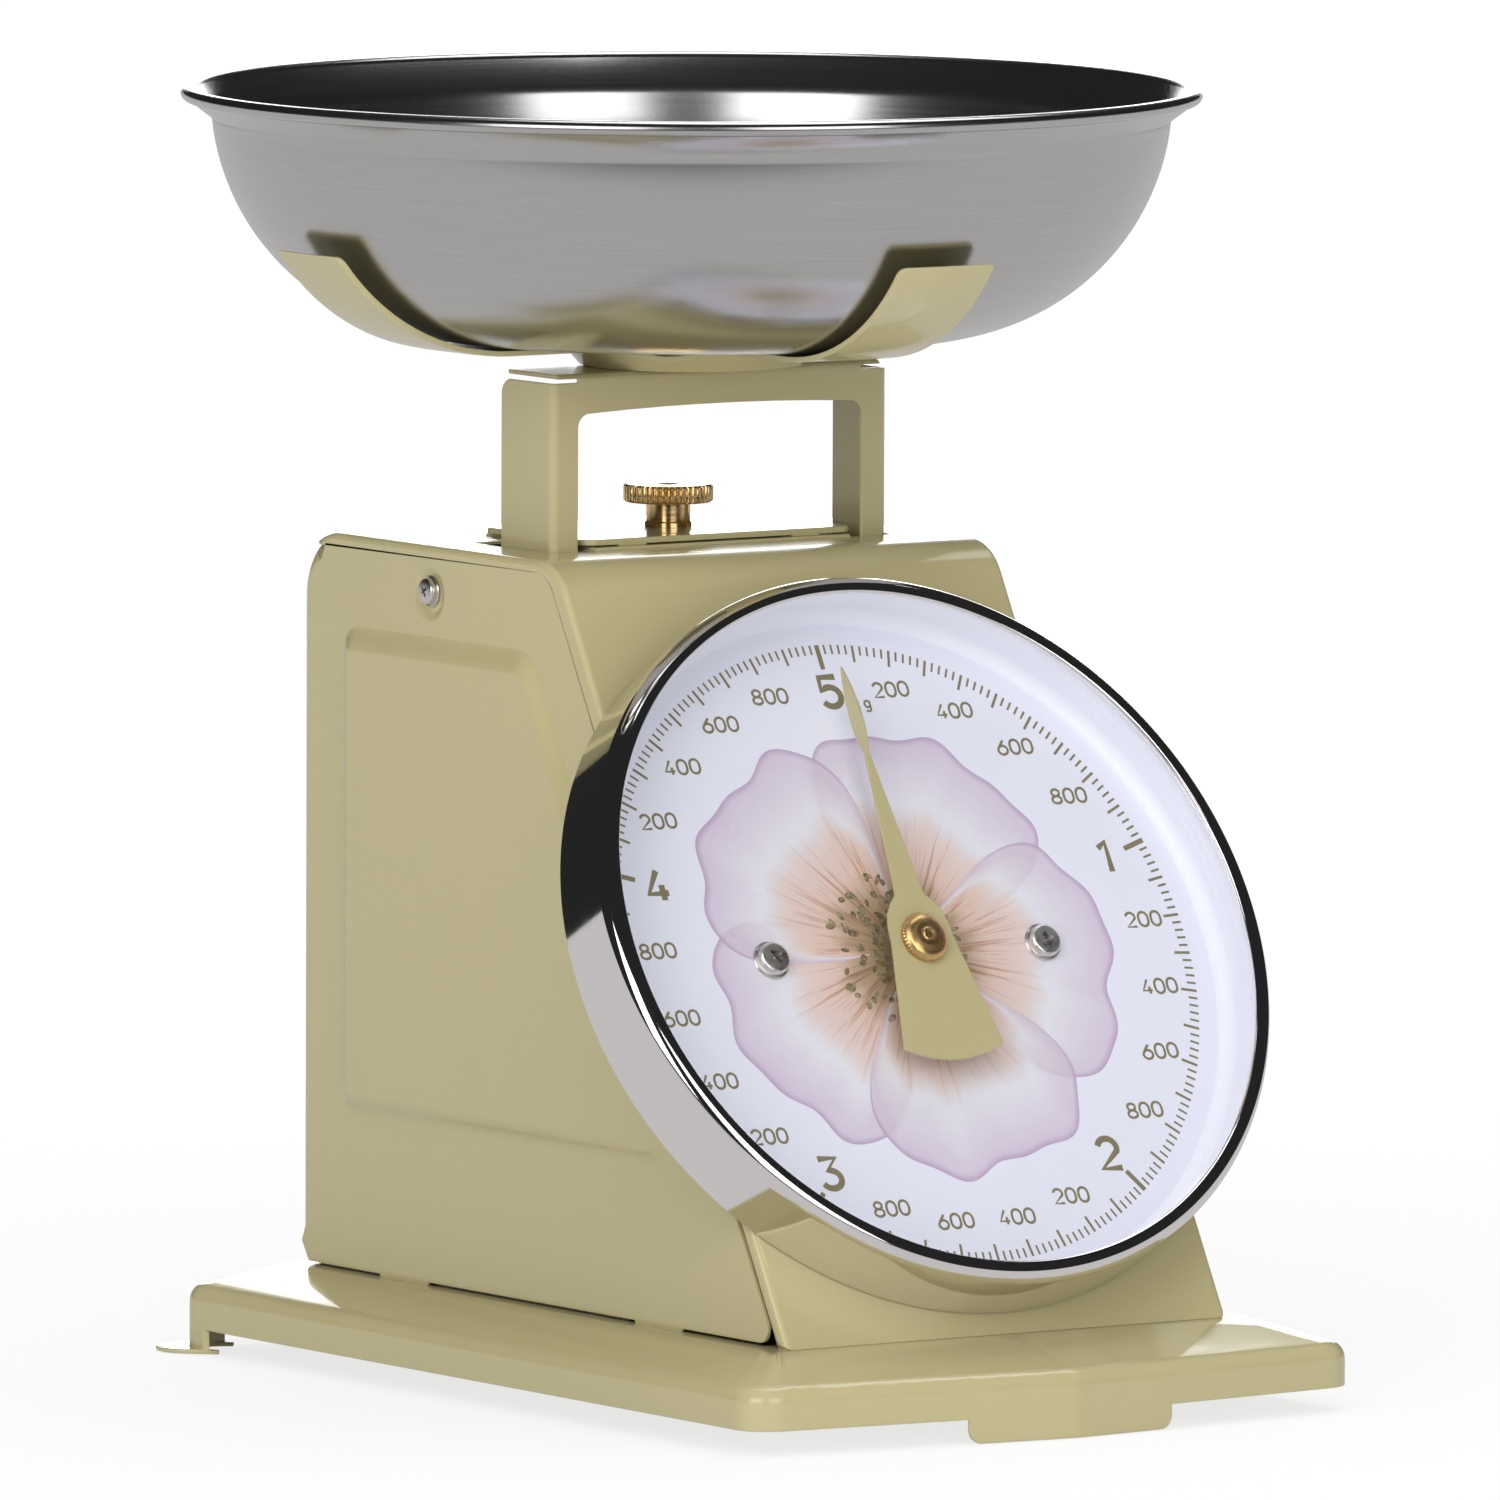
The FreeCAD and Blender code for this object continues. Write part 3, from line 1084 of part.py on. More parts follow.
def build_pointer():
    """A flat pointer with a narrow tip and a fan-shaped tail that balances it."""
    body = new_body("pointer")
    hub, tail = "hub_radius", "tail_half_width"
    outline = [
        ("0", "pointer_length"), ("-1.9", "pointer_length - 12"), ("-0.9", "pointer_length - 22"),
        (f"-{hub} + 2.2", "9"), (f"-{hub}", "0"), (f"-{tail}", "-pointer_tail + 2", "pointer_tail"),
        (tail, "-pointer_tail + 2"), (hub, "0"), (f"{hub} - 2.2", "9"),
        ("0.9", "pointer_length - 22"), ("1.9", "pointer_length - 12"),
    ]
    sketch = draw_outline(new_sketch(body, "XY_Plane", "pointer_level"), outline)
    draw_circle(sketch, "0", "0", "shaft_radius")
    pad(body, sketch, "pointer_sheet")
    keep(body, "pointer", on_dial=True)


def build_pointer_cap():
    """A knurled brass cap on the shaft's front end."""
    low, height = value("pointer_level + pointer_sheet"), value("cap_height")
    radius, bore = value("cap_radius"), value("shaft_radius")
    rim = knurled_disc(radius, 0.25, CAP_KNURL_GROOVES, low, low + 1.3)
    crown_radius = (radius - 0.6) ** 2 / (2 * (height - 1.3)) + (height - 1.3) / 2
    crown = Part.makeSphere(crown_radius, Vector(0, 0, low + height - crown_radius))
    crown = crown.common(Part.makeCylinder(radius - 0.6, height, Vector(0, 0, low + 1.2)))
    hole = Part.makeCylinder(bore, value("shaft_front") - low, Vector(0, 0, low))
    keep(made(rim.fuse(crown).cut(hole)), "pointer_cap", on_dial=True)


def build_pointer_shaft():
    rear, front = "-shaft_rear", "shaft_front"
    turned("pointer_shaft", [
        ("0", rear), ("shaft_radius", rear), ("shaft_radius", front), ("0", front),
    ], on_dial=True)


def build_front_bush():
    bore, body, flange = "(shaft_radius + running_gap)", "bush_radius", "bush_flange"
    turned("front_bush", [
        (bore, "-bush_length"), (body, "-bush_length"), (body, "0"),
        (flange, "0"), (flange, "1"), (bore, "1"),
    ], on_dial=True)


def build_rear_bush():
    bore, web = "(shaft_radius + running_gap)", "(bridge_depth + frame_sheet)"
    body, flange, front = "rear_bush_radius", "(rear_bush_radius + 1.5)", "-bridge_depth + 1"
    turned("rear_bush", [
        (bore, f"-{web} - 1"), (flange, f"-{web} - 1"), (flange, f"-{web}"),
        (body, f"-{web}"), (body, front), (bore, front),
    ], on_dial=True)


def build_bearing_bridge():
    """A hat-shaped strap behind the face that holds the shaft's rear bush."""
    body = new_body("bearing_bridge")
    face, web, sheet = "-body_sheet", "-bridge_depth", "frame_sheet"
    end, foot = "bridge_half_length", "(bridge_half_length - bridge_foot)"
    outline = [
        (f"-{foot}", face), (f"-{end}", face), (f"-{end}", f"{web} - {sheet}"), (end, f"{web} - {sheet}"),
        (end, face), (foot, face), (foot, f"{face} - {sheet}"), (f"{end} - {sheet}", f"{face} - {sheet}"),
        (f"{end} - {sheet}", web), (f"-{end} + {sheet}", web), (f"-{end} + {sheet}", f"{face} - {sheet}"),
        (f"-{foot}", f"{face} - {sheet}"),
    ]
    pad(body, draw_outline(new_sketch(body, "XZ_Plane"), outline), "2 * bridge_half_width", symmetric=True)
    holes = new_sketch(body, "XY_Plane")
    for side in ("dial_screw_side", "-dial_screw_side"):
        draw_circle(holes, side, "0", "dial_screw_shank")
    pocket(body, holes, "4 * body_sheet + 2 * frame_sheet", symmetric=True)
    centre = draw_circle(new_sketch(body, "XY_Plane"), "0", "0", "rear_bush_radius + fit_gap")
    pocket(body, centre, "4 * bridge_depth", symmetric=True)
    keep(body, "bearing_bridge", on_dial=True)


# ---------------------------------------------------------------- rack and pinion

def tooth_half_angle(radius, pitch_radius):
    """Half of a pinion tooth's angle at a radius, from the involute of its base circle."""
    pressure = math.radians(PRESSURE_ANGLE)
    base = pitch_radius * math.cos(pressure)
    at_pitch = math.pi / (2 * PINION_TEETH) - value("mesh_gap") / (2 * pitch_radius)
    swing = math.acos(min(1.0, base / radius))
    return at_pitch + (math.tan(pressure) - pressure) - (math.tan(swing) - swing)


def build_pinion():
    """A small gear on the shaft. A gap between two of its teeth faces the rack at rest."""
    module, pitch = value("tooth_module"), value(PITCH_RADIUS)
    root, tip = pitch - 1.25 * module, pitch + module
    base = pitch * math.cos(math.radians(PRESSURE_ANGLE))
    flank = [max(base, root) + (tip - max(base, root)) * step / 4 for step in range(5)]
    points = []
    for tooth in range(PINION_TEETH):
        centre = 2 * math.pi * (tooth + 0.5) / PINION_TEETH
        halves = [(root, tooth_half_angle(flank[0], pitch))]
        halves += [(r, tooth_half_angle(r, pitch)) for r in flank]
        for radius, half in halves:
            points.append((radius, centre - half))
        for radius, half in reversed(halves):
            points.append((radius, centre + half))
    rear = -value("pinion_rear")
    corners = [Vector(r * math.cos(a), r * math.sin(a), rear) for r, a in points]
    width = value("pinion_rear - pinion_front")
    gear = Part.Face(Part.makePolygon(corners + corners[:1])).extrude(Vector(0, 0, width))
    bore = Part.makeCylinder(value("shaft_radius"), width, Vector(0, 0, rear))
    keep(made(gear.cut(bore)), "pinion", on_dial=True)


def build_rack():
    """A toothed bar that slides along the face, with a slotted lug for the drive pin."""
    module, pitch = value("tooth_module"), value(PITCH_RADIUS)
    low, high = -value("rack_below"), value("rack_above")
    front, rear = -value("rack_front"), -value("rack_rear")
    step = math.pi * module
    slant = math.tan(math.radians(PRESSURE_ANGLE))
    tip_x, root_x = pitch - module, pitch + 1.25 * module
    half = step / 4 - value("mesh_gap") / 2
    edge = [Vector(root_x, low, rear)]
    for index in range(math.ceil((low + step) / step), math.floor(value(f"{RACK_TRAVEL} + 4") / step)):
        middle = index * step
        foot, peak = half + (root_x - pitch) * slant, half - (pitch - tip_x) * slant
        for x, y in ((root_x, -foot), (tip_x, -peak), (tip_x, peak), (root_x, foot)):
            edge.append(Vector(x, middle + y, rear))
    back = root_x + value("rack_width")
    edge += [Vector(root_x, high, rear), Vector(back, high, rear), Vector(back, low, rear)]
    bar = Part.Face(Part.makePolygon(edge + edge[:1])).extrude(Vector(0, 0, front - rear))
    slope = math.radians(value("face_slope"))
    level = Vector(0, math.sin(slope), -math.cos(slope))
    start = Vector(0, value("drive_pin_up"), -value("drive_pin_in"))
    reach = value(f"{TRAVEL} * tan(face_slope)")
    lug_x, lug_sheet = lug_side(), value("drive_sheet")
    hole = value("drive_pin_radius + running_gap")
    lug = stadium(start, level, reach + 1, hole + 2.2, lug_x, lug_sheet)
    slot = stadium(start, level, reach + 0.4, hole, 0, 3 * back)
    relief = stadium(start, level, reach + 0.4, hole + 0.4, root_x - 1, lug_x - root_x + 1)
    rest = stadium(start, level, reach + 1, hole + 2.2, lug_x + lug_sheet, back)
    keep(made(bar.cut([relief, rest]).fuse(lug).cut(slot)), "rack_bar", on_dial=True)


def lug_side():
    """The lug's side towards the middle, so that the drive arm lies just beyond the lug."""
    return value(f"{PITCH_RADIUS} + 1.25 * tooth_module + rack_width - 3 * drive_sheet")


def stadium(start, along, reach, radius, low_x, length):
    """A slot-shaped bar across X: round ends at start and at reach from it along a direction."""
    across = Vector(length, 0, 0)
    normal = Vector(1, 0, 0).cross(along)
    first = Vector(low_x, start.y, start.z)
    last = first + along * reach
    up = normal * radius
    corners = [first + up, last + up, last - up, first - up]
    bar = Part.Face(Part.makePolygon(corners + corners[:1])).extrude(across)
    ends = [Part.makeCylinder(radius, length, point, Vector(1, 0, 0)) for point in (first, last)]
    return bar.fuse(ends).removeSplitter()


def build_rack_guide():
    """A channel on the face's inner side that holds the rack against the pinion."""
    body = new_body("rack_guide")
    back = f"({PITCH_RADIUS} + 1.25 * tooth_module + rack_width + running_gap)"
    front, rear = "(-rack_front + running_gap)", "(-rack_rear - running_gap)"
    flange = f"({back} - 2.5)"
    outline = [
        (flange, "-body_sheet"), (f"{back} + 4", "-body_sheet"),
        (f"{back} + 4", f"{rear} - 2"), (flange, f"{rear} - 2"),
        (flange, rear), (back, rear), (back, front), (flange, front),
    ]
    sketch = draw_outline(new_sketch(body, "XZ_Plane", "-guide_above"), outline)
    pad(body, sketch, "guide_above + guide_below")
    keep(body, "rack_guide", on_dial=True)


def drive_pin_place():
    """The drive pin at rest, as expressions for its distance back and its height."""
    back = f"({face_back('dial_up')} + drive_pin_up * sin(face_slope) + drive_pin_in * cos(face_slope))"
    height = "(dial_up + drive_pin_up * cos(face_slope) - drive_pin_in * sin(face_slope))"
    return back, height


DRIVE_ARM_X = f"({PITCH_RADIUS} + 1.25 * tooth_module + rack_width - 2 * drive_sheet + 0.3)"


def build_drive_arm():
    """A plate between the bracket's legs with an arm forwards to the rack's lug."""
    back, height = drive_pin_place()
    side = "(bracket_half_width - leg_width + 3)"
    behind = "(-bracket_front + bracket_sheet)"
    plate = box(f"-{side}", behind, "drive_plate_low", side, f"{behind} + drive_sheet", "drive_plate_high")
    low = (DRIVE_ARM_X, f"{back} - drive_arm_nose", f"{height} - drive_arm_half")
    high = (f"{DRIVE_ARM_X} + drive_sheet", f"{behind} + 0.5", f"{height} + drive_arm_half")
    arm = box(*low, *high)
    hole = rod("drive_pin_radius", "0", "4 * rack_width", back, height, "x")
    keep(cut(fused([plate, arm]), hole), "drive_arm")


def build_drive_pin():
    back, height = drive_pin_place()
    start = f"({DRIVE_ARM_X} - 0.3 - drive_sheet - 0.6)"
    end = f"{DRIVE_ARM_X} + drive_sheet + 0.6"
    keep(rod("drive_pin_radius", start, end, back, height, "x"), "drive_pin", back=back, up=height)


# ---------------------------------------------------------------- the whole scale

def build_everything():
    build_base_tray()
    build_inner_frame()
    build_frame_screws()
    build_stop_pads()
    build_lever_axles()
    build_front_panel()
    build_rear_cover()
    build_cover_screws()
    build_adjuster_plate()
    build_bowl()
    build_cradle()
    build_cradle_rivets()
    build_load_bracket()
    build_lever_pins()
    build_spring_bar()
    build_spring_hanger()
    build_main_springs()
    build_zero_knob()
    build_knob_clip()
    build_lever("upper_lever", "upper_pin")
    build_lever("lower_lever", "lower_pin")
    build_dial_pan()
    build_dial_plate()
    build_dial_screws()
    build_bezel_ring()
    build_lens()
    build_lens_ring()
    build_pointer()
    build_pointer_cap()
    build_pointer_shaft()
    build_front_bush()
    build_rear_bush()
    build_bearing_bridge()
    build_pinion()
    build_rack()
    build_rack_guide()
    build_drive_arm()
    build_drive_pin()


def check_and_write():
    """Stops on a failed feature or a bad solid, then writes one STEP file for each sub-part."""
    doc.recompute()
    for item in doc.Objects:
        if "Invalid" in item.State or "Error" in item.State:
            raise RuntimeError(f"{item.Name} failed: {item.State}")
    for name, item in parts.items():
        if item.Shape.isNull() or not item.Shape.isValid() or not item.Shape.Solids:
            raise RuntimeError(f"{name} has no valid solid")
    os.makedirs("parts", exist_ok=True)
    for name, item in parts.items():
        item.Shape.exportStep(f"parts/{name}.step")
        print(f"{name}: {len(item.Shape.Solids)} solid(s), {item.Shape.Volume / 1000:.3f} cm3")


build_everything()
check_and_write()
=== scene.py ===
"""A mechanical kitchen scale: enamelled sheet housing, steel bowl, chrome bezel and printed dial.

Lengths here are in millimetres, and MM turns them into Blender's metres.
A level on the dial is a height above the sloping face, measured along the pointer's shaft.
"""
import json
import math
import random

import bmesh
import bpy
from mathutils import Matrix, Vector


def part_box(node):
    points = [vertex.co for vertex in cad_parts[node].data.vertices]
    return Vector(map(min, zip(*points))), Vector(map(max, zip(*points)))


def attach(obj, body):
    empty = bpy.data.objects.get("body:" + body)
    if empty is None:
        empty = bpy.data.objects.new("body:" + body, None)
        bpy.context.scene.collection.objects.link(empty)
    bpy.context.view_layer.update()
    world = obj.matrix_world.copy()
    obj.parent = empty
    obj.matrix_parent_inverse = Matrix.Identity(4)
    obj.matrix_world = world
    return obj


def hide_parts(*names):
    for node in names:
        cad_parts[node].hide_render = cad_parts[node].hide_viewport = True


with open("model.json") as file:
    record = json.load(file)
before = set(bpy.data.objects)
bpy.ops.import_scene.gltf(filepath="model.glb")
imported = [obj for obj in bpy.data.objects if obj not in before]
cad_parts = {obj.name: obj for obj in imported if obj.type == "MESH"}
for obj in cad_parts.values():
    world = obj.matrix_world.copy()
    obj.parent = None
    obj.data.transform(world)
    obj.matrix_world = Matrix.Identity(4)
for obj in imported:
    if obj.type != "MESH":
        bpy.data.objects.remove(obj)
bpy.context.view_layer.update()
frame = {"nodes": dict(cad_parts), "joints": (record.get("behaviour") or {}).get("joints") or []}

MM = 0.001
WELD = 0.002 * MM
TURN = 2 * math.pi
JOINTS = {joint["name"]: joint for joint in frame["joints"]}


def corners(node):
    """A node's lowest and highest corner in millimetres."""
    low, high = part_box(node)
    return low / MM, high / MM


BOWL_LOW, BOWL_HIGH = corners("bowl")
PANEL_HIGH = corners("front_panel")[1]
COVER_LOW, COVER_HIGH = corners("rear_cover")
TRAY_TOP = corners("base_tray")[1].z
PLATE_LOW, PLATE_HIGH = corners("adjuster_plate")
KNOB_LOW, KNOB_HIGH = corners("zero_knob")
SCREW_LOW, SCREW_HIGH = corners("cover_screws")
BOWL_BACK = (BOWL_LOW.y + BOWL_HIGH.y) / 2
KNOB_BACK = (KNOB_LOW.y + KNOB_HIGH.y) / 2
HOUSING_HALF = PANEL_HIGH.x

# the sheet housing
SHEET = 0.8
LIP = 3.8
TOP_LIP = 2.8
SEAM = 0.3
COVER_FRONT_ROUND = 8.0
COVER_FOOT_ROUND = 3.0
REAR_ROUND = 15.0
COVER_BEND = 4.8
COVER_FOOT = COVER_LOW.z + 0.7
COVER_TABS = ((34.6, 15.7), (-64.8, -82.8))
FACE_EDGE_ROUND = 1.5
PLATE_RIM = 1.3
PLATE_CORNER = 3.5
PLATE_FOOT_NEAR = 18.8
PLATE_FOOT_FAR = 26.0
KNOB_HEAD = 3.9
KNOB_NECK = 4.85
FIELD_MARGIN_REAR = 17.5
FIELD_MARGIN_TOP = 20.0
FIELD_MARGIN_FRONT = 13.0
FIELD_FOOT = 34.0
FIELD_SLOPE = 5.5
FIELD_RISE = 2.0
COVER_SCREW_HEAD = 3.4
COVER_SCREW_HEIGHT = 2.0
SCREW_HOLLOW = 6.2

# the bowl
BOWL_SHEET = 0.8
BOWL_FOOT = 51.5
BOWL_BEND = 52.0
BOWL_WALL = 47.0
RIM_BEAD = 1.6

# the dial
SCALE_RADIUS = 72.0
SCALE_STEPS = 250
NUMERAL_RING = 62.7
KILO_RING = 61.0
NUMERAL_HEIGHT = 3.3
KILO_HEIGHT = 6.9
PRINT_RISE = 0.02
POINTER_WAIST = 44.3
POINTER_TIP = 64.0
POINTER_TAIL = 28.0
BEZEL_SWELL = 0.6
BEZEL_ROLL = 3.2
DIAL_SCREW_HEAD = 4.4
DIAL_SCREW_INSET = 3.9
PETAL_HALF_SPAN = math.radians(47)
PETAL_LENGTH = 51.5
PETAL_HEART = 3.0

# the stage
VIEW_AZIMUTH = -33.92
VIEW_ELEVATION = 5.539
VIEW_ROLL = 0.2305
VIEW_DISTANCE = 5.4377
VIEW_TARGET = (0.01774, 0.02240, 0.13260)
VIEW_LENS = 603.55
LAMP_AZIMUTH = -33.9
TOWARDS_VIEW = (-0.558, -0.83, 0)


# ---------------------------------------------------------------- geometry helpers
def dial_place():
    """The dial's frame: X to the right, Y up the slope, Z out along the shaft."""
    joint = JOINTS["pointer_turn"]
    out = -Vector(joint["axis"]).normalized()
    right = Vector((1, 0, 0))
    up = out.cross(right)
    turn = Matrix((right, up, out)).transposed().to_4x4()
    return Matrix.Translation(Vector(joint["pos_m"])) @ turn


DIAL = dial_place()
FACE_SLOPE = math.asin((DIAL @ Vector((0, 1, 0)) - DIAL.translation).y)


def dial_span(node):
    """The lowest and highest level of a node above the face, and its radius about the shaft."""
    inward = DIAL.inverted()
    points = [inward @ vertex.co / MM for vertex in frame["nodes"][node].data.vertices]
    levels = [point.z for point in points]
    return min(levels), max(levels), max(point.xy.length for point in points)


def arc(across, up, radius, start, end, steps=8):
    """Points on an arc about (across, up), from one angle in degrees to another."""
    angles = [math.radians(start + (end - start) * step / steps) for step in range(steps + 1)]
    return [(across + radius * math.cos(a), up + radius * math.sin(a)) for a in angles]


def rounded(points, radii, steps=6):
    """A closed outline whose corners are arcs of the given radii."""
    outline = []
    count = len(points)
    for index, (point, radius) in enumerate(zip(points, radii)):
        here = Vector(point)
        to_last = (Vector(points[index - 1]) - here).normalized()
        to_next = (Vector(points[(index + 1) % count]) - here).normalized()
        if radius <= 0:
            outline.append(tuple(here))
            continue
        half = to_last.angle(to_next) / 2
        reach = radius / math.tan(half)
        centre = here + (to_last + to_next).normalized() * radius / math.sin(half)
        first = here + to_last * reach - centre
        last = here + to_next * reach - centre
        turn = first.angle_signed(last)
        for step in range(steps + 1):
            outline.append(tuple(centre + Matrix.Rotation(-turn * step / steps, 2) @ first))
    return outline


def turned(profile, steps=96, place=Matrix(), closed=False):
    """A bmesh of (radius, height) points spun about the Z axis and put in place."""
    bm = bmesh.new()
    verts = [bm.verts.new((radius * MM, 0, height * MM)) for radius, height in profile]
    ends = zip(verts, verts[1:] + verts[:1] if closed else verts[1:])
    edges = [bm.edges.new(pair) for pair in ends]
    bmesh.ops.spin(bm, geom=verts + edges, cent=(0, 0, 0), axis=(0, 0, 1), angle=TURN,
                   steps=steps, use_merge=True)
    bmesh.ops.remove_doubles(bm, verts=bm.verts, dist=WELD)
    bmesh.ops.transform(bm, matrix=place, verts=bm.verts)
    return bm


def plate(outline, low, high, place=Matrix()):
    """A flat plate with the given (x, y) outline between two heights."""
    bm = bmesh.new()
    verts = [bm.verts.new((x * MM, y * MM, low * MM)) for x, y in outline]
    face = bm.faces.new(verts)
    raised = bmesh.ops.extrude_face_region(bm, geom=[face], use_keep_orig=True)["geom"]
    top = [item for item in raised if isinstance(item, bmesh.types.BMVert)]
    bmesh.ops.translate(bm, verts=top, vec=(0, 0, (high - low) * MM))
    bmesh.ops.recalc_face_normals(bm, faces=bm.faces)
    bmesh.ops.transform(bm, matrix=place, verts=bm.verts)
    return bm


def soften(bm, width, least=40, segments=2, chosen=lambda edge: True):
    """Rounds the edges that turn by more than the least angle, or only the chosen ones."""
    turn = math.radians(least)
    edges = [edge for edge in bm.edges
             if edge.is_manifold and edge.calc_face_angle(0) > turn and chosen(edge)]
    bmesh.ops.bevel(bm, geom=edges, affect="EDGES", offset_type="OFFSET", offset=width * MM,
                    segments=segments, profile=0.5, material=-1)
    return bm


def cad_form(node):
    """A merged copy of a node's mesh, with its flat faces made whole."""
    bm = bmesh.new()
    bm.from_mesh(frame["nodes"][node].data)
    bmesh.ops.remove_doubles(bm, verts=bm.verts, dist=WELD)
    bmesh.ops.dissolve_limit(bm, angle_limit=math.radians(0.6), verts=bm.verts, edges=bm.edges)
    return bm


def joined(*meshes):
    """Several bmeshes as one."""
    whole = bmesh.new()
    for bm in meshes:
        holder = bpy.data.meshes.new("part")
        bm.to_mesh(holder)
        bm.free()
        whole.from_mesh(holder)
        bpy.data.meshes.remove(holder)
    return whole


def finished(bm, name, finish, body, stands_for=(), crease=32, wall=0):
    """Makes a bmesh a named piece with its finish, which rides on a body."""
    bmesh.ops.remove_doubles(bm, verts=bm.verts, dist=WELD / 4)
    bmesh.ops.recalc_face_normals(bm, faces=bm.faces)
    mesh = bpy.data.meshes.new(name)
    bm.to_mesh(mesh)
    bm.free()
    mesh.materials.append(finish)
    mesh.shade_smooth()
    mesh.set_sharp_from_angle(angle=math.radians(crease))
    piece = bpy.data.objects.new(name, mesh)
    bpy.context.scene.collection.objects.link(piece)
    if wall:
        thickness = piece.modifiers.new("Sheet", "SOLIDIFY")
        thickness.thickness = wall * MM
        thickness.offset = -1
        rounding = piece.modifiers.new("Rounded edges", "BEVEL")
        rounding.width = 0.2 * MM
        rounding.segments = 2
        rounding.limit_method = "ANGLE"
        rounding.angle_limit = math.radians(50)
    piece.modifiers.new("Weighted normals", "WEIGHTED_NORMAL").keep_sharp = True
    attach(piece, body)
    if stands_for:
        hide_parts(*stands_for)
    return piece


# ---------------------------------------------------------------- shader helpers
def add(tree, kind, settings=(), **inputs):
    """A shader node; an input is given by its name or, as _0 or _1, by its place."""
    node = tree.nodes.new("ShaderNode" + kind)
    for key, value in dict(settings).items():
        setattr(node, key, value)
    for key, value in inputs.items():
        if key[0] == "_":
            socket = node.inputs[int(key[1:])]
        else:
            socket = node.inputs[key.replace("_", " ")]
        if isinstance(value, bpy.types.NodeSocket):
            tree.links.new(value, socket)
        else:
            socket.default_value = value
    return node


def maths(tree, operation, first, second=0.0):
    return add(tree, "Math", {"operation": operation}, _0=first, _1=second).outputs[0]


def ramp(tree, fac, stops):
    """A colour ramp of (position, value or colour) stops."""
    node = add(tree, "ValToRGB", Fac=fac)
    elements = node.color_ramp.elements
    while len(elements) < len(stops):
        elements.new(0.5)
    for element, (position, colour) in zip(elements, stops):
        element.position = position
        shade = (colour,) * 3 if isinstance(colour, (int, float)) else colour
        element.color = (*shade, 1)
    return node.outputs["Color"]


def blend(tree, kind, fac, first, second):
    """Two colours mixed the given way."""
    node = add(tree, "Mix", {"data_type": "RGBA", "blend_type": kind}, _0=fac, _6=first, _7=second)
    return node.outputs[2]


def linear(red, green, blue):
    """A display colour of 0 to 255 as scene-linear RGB."""
    def curve(part):
        share = part / 255
        return share / 12.92 if share <= 0.04045 else ((share + 0.055) / 1.055) ** 2.4
    return curve(red), curve(green), curve(blue)


def opaque(colour):
    return (*colour, 1.0)


def object_point(tree, centre=(0, 0, 0), turn=(0, 0, 0), scale=(1, 1, 1)):
    """Object coordinates in millimetres about a centre."""
    place = add(tree, "TexCoord").outputs["Object"]
    moved = add(tree, "Mapping", {"vector_type": "TEXTURE"}, Vector=place,
                Location=[value * MM for value in centre], Rotation=turn,
                Scale=[MM / value for value in scale])
    return moved.outputs["Vector"]


def noise(tree, point, scale, detail=2.0, roughness=0.5):
    node = add(tree, "TexNoise", Vector=point, Scale=scale, Detail=detail, Roughness=roughness)
    return node.outputs["Fac"]


def group(name, inputs, outputs, build):
    """A node group with named inputs and outputs; build fills it and returns its output sockets."""
    tree = bpy.data.node_groups.new(name, "ShaderNodeTree")
    for label, kind, default in inputs:
        socket = tree.interface.new_socket(label, in_out="INPUT", socket_type="NodeSocket" + kind)
        if default is not None:
            socket.default_value = default
    for label, kind in outputs:
        tree.interface.new_socket(label, in_out="OUTPUT", socket_type="NodeSocket" + kind)
    start = tree.nodes.new("NodeGroupInput")
    end = tree.nodes.new("NodeGroupOutput")
    for socket, value in zip(end.inputs, build(tree, start.outputs)):
        tree.links.new(value, socket)
    return tree


def use(tree, made, **inputs):
    """A node group placed in a material with its own values."""
    node = tree.nodes.new("ShaderNodeGroup")
    node.node_tree = made
    for key, value in inputs.items():
        socket = node.inputs[key.replace("_", " ")]
        if isinstance(value, bpy.types.NodeSocket):
            tree.links.new(value, socket)
        else:
            socket.default_value = value
    return node.outputs


def material(name, **sockets):
    """A Principled material with plain values on its sockets, its tree and its shader."""
    made = bpy.data.materials.new(name)
    made.use_nodes = True
    tree = made.node_tree
    shader = tree.nodes["Principled BSDF"]
    for key, value in sockets.items():
        shader.inputs[key.replace("_", " ")].default_value = value
    return made, tree, shader


def feed(tree, shader, **sockets):
    for key, value in sockets.items():
        tree.links.new(value, shader.inputs[key.replace("_", " ")])


def bump(tree, shader, height, distance, strength=1.0):
    """Feeds a height to the shader's normal; distance is in millimetres."""
    node = add(tree, "Bump", Height=height, Distance=distance * MM, Strength=strength)
    feed(tree, shader, Normal=node.outputs["Normal"])


# ---------------------------------------------------------------- shared effects
def build_mottle(tree, given):
    """Slow drift and fine speckle of a surface's colour."""
    slow = noise(tree, given["Point"], 0.045, 3)
    fine = noise(tree, given["Point"], 1.6, 2)
    both = maths(tree, "ADD", maths(tree, "MULTIPLY", slow, 0.7), maths(tree, "MULTIPLY", fine, 0.3))
    centred = maths(tree, "SUBTRACT", both, 0.5)
    factor = maths(tree, "ADD", maths(tree, "MULTIPLY", centred, given["Amount"]), 1.0)
    scaled = add(tree, "VectorMath", {"operation": "SCALE"}, _0=given["Color"], Scale=factor)
    return scaled.outputs["Vector"], slow


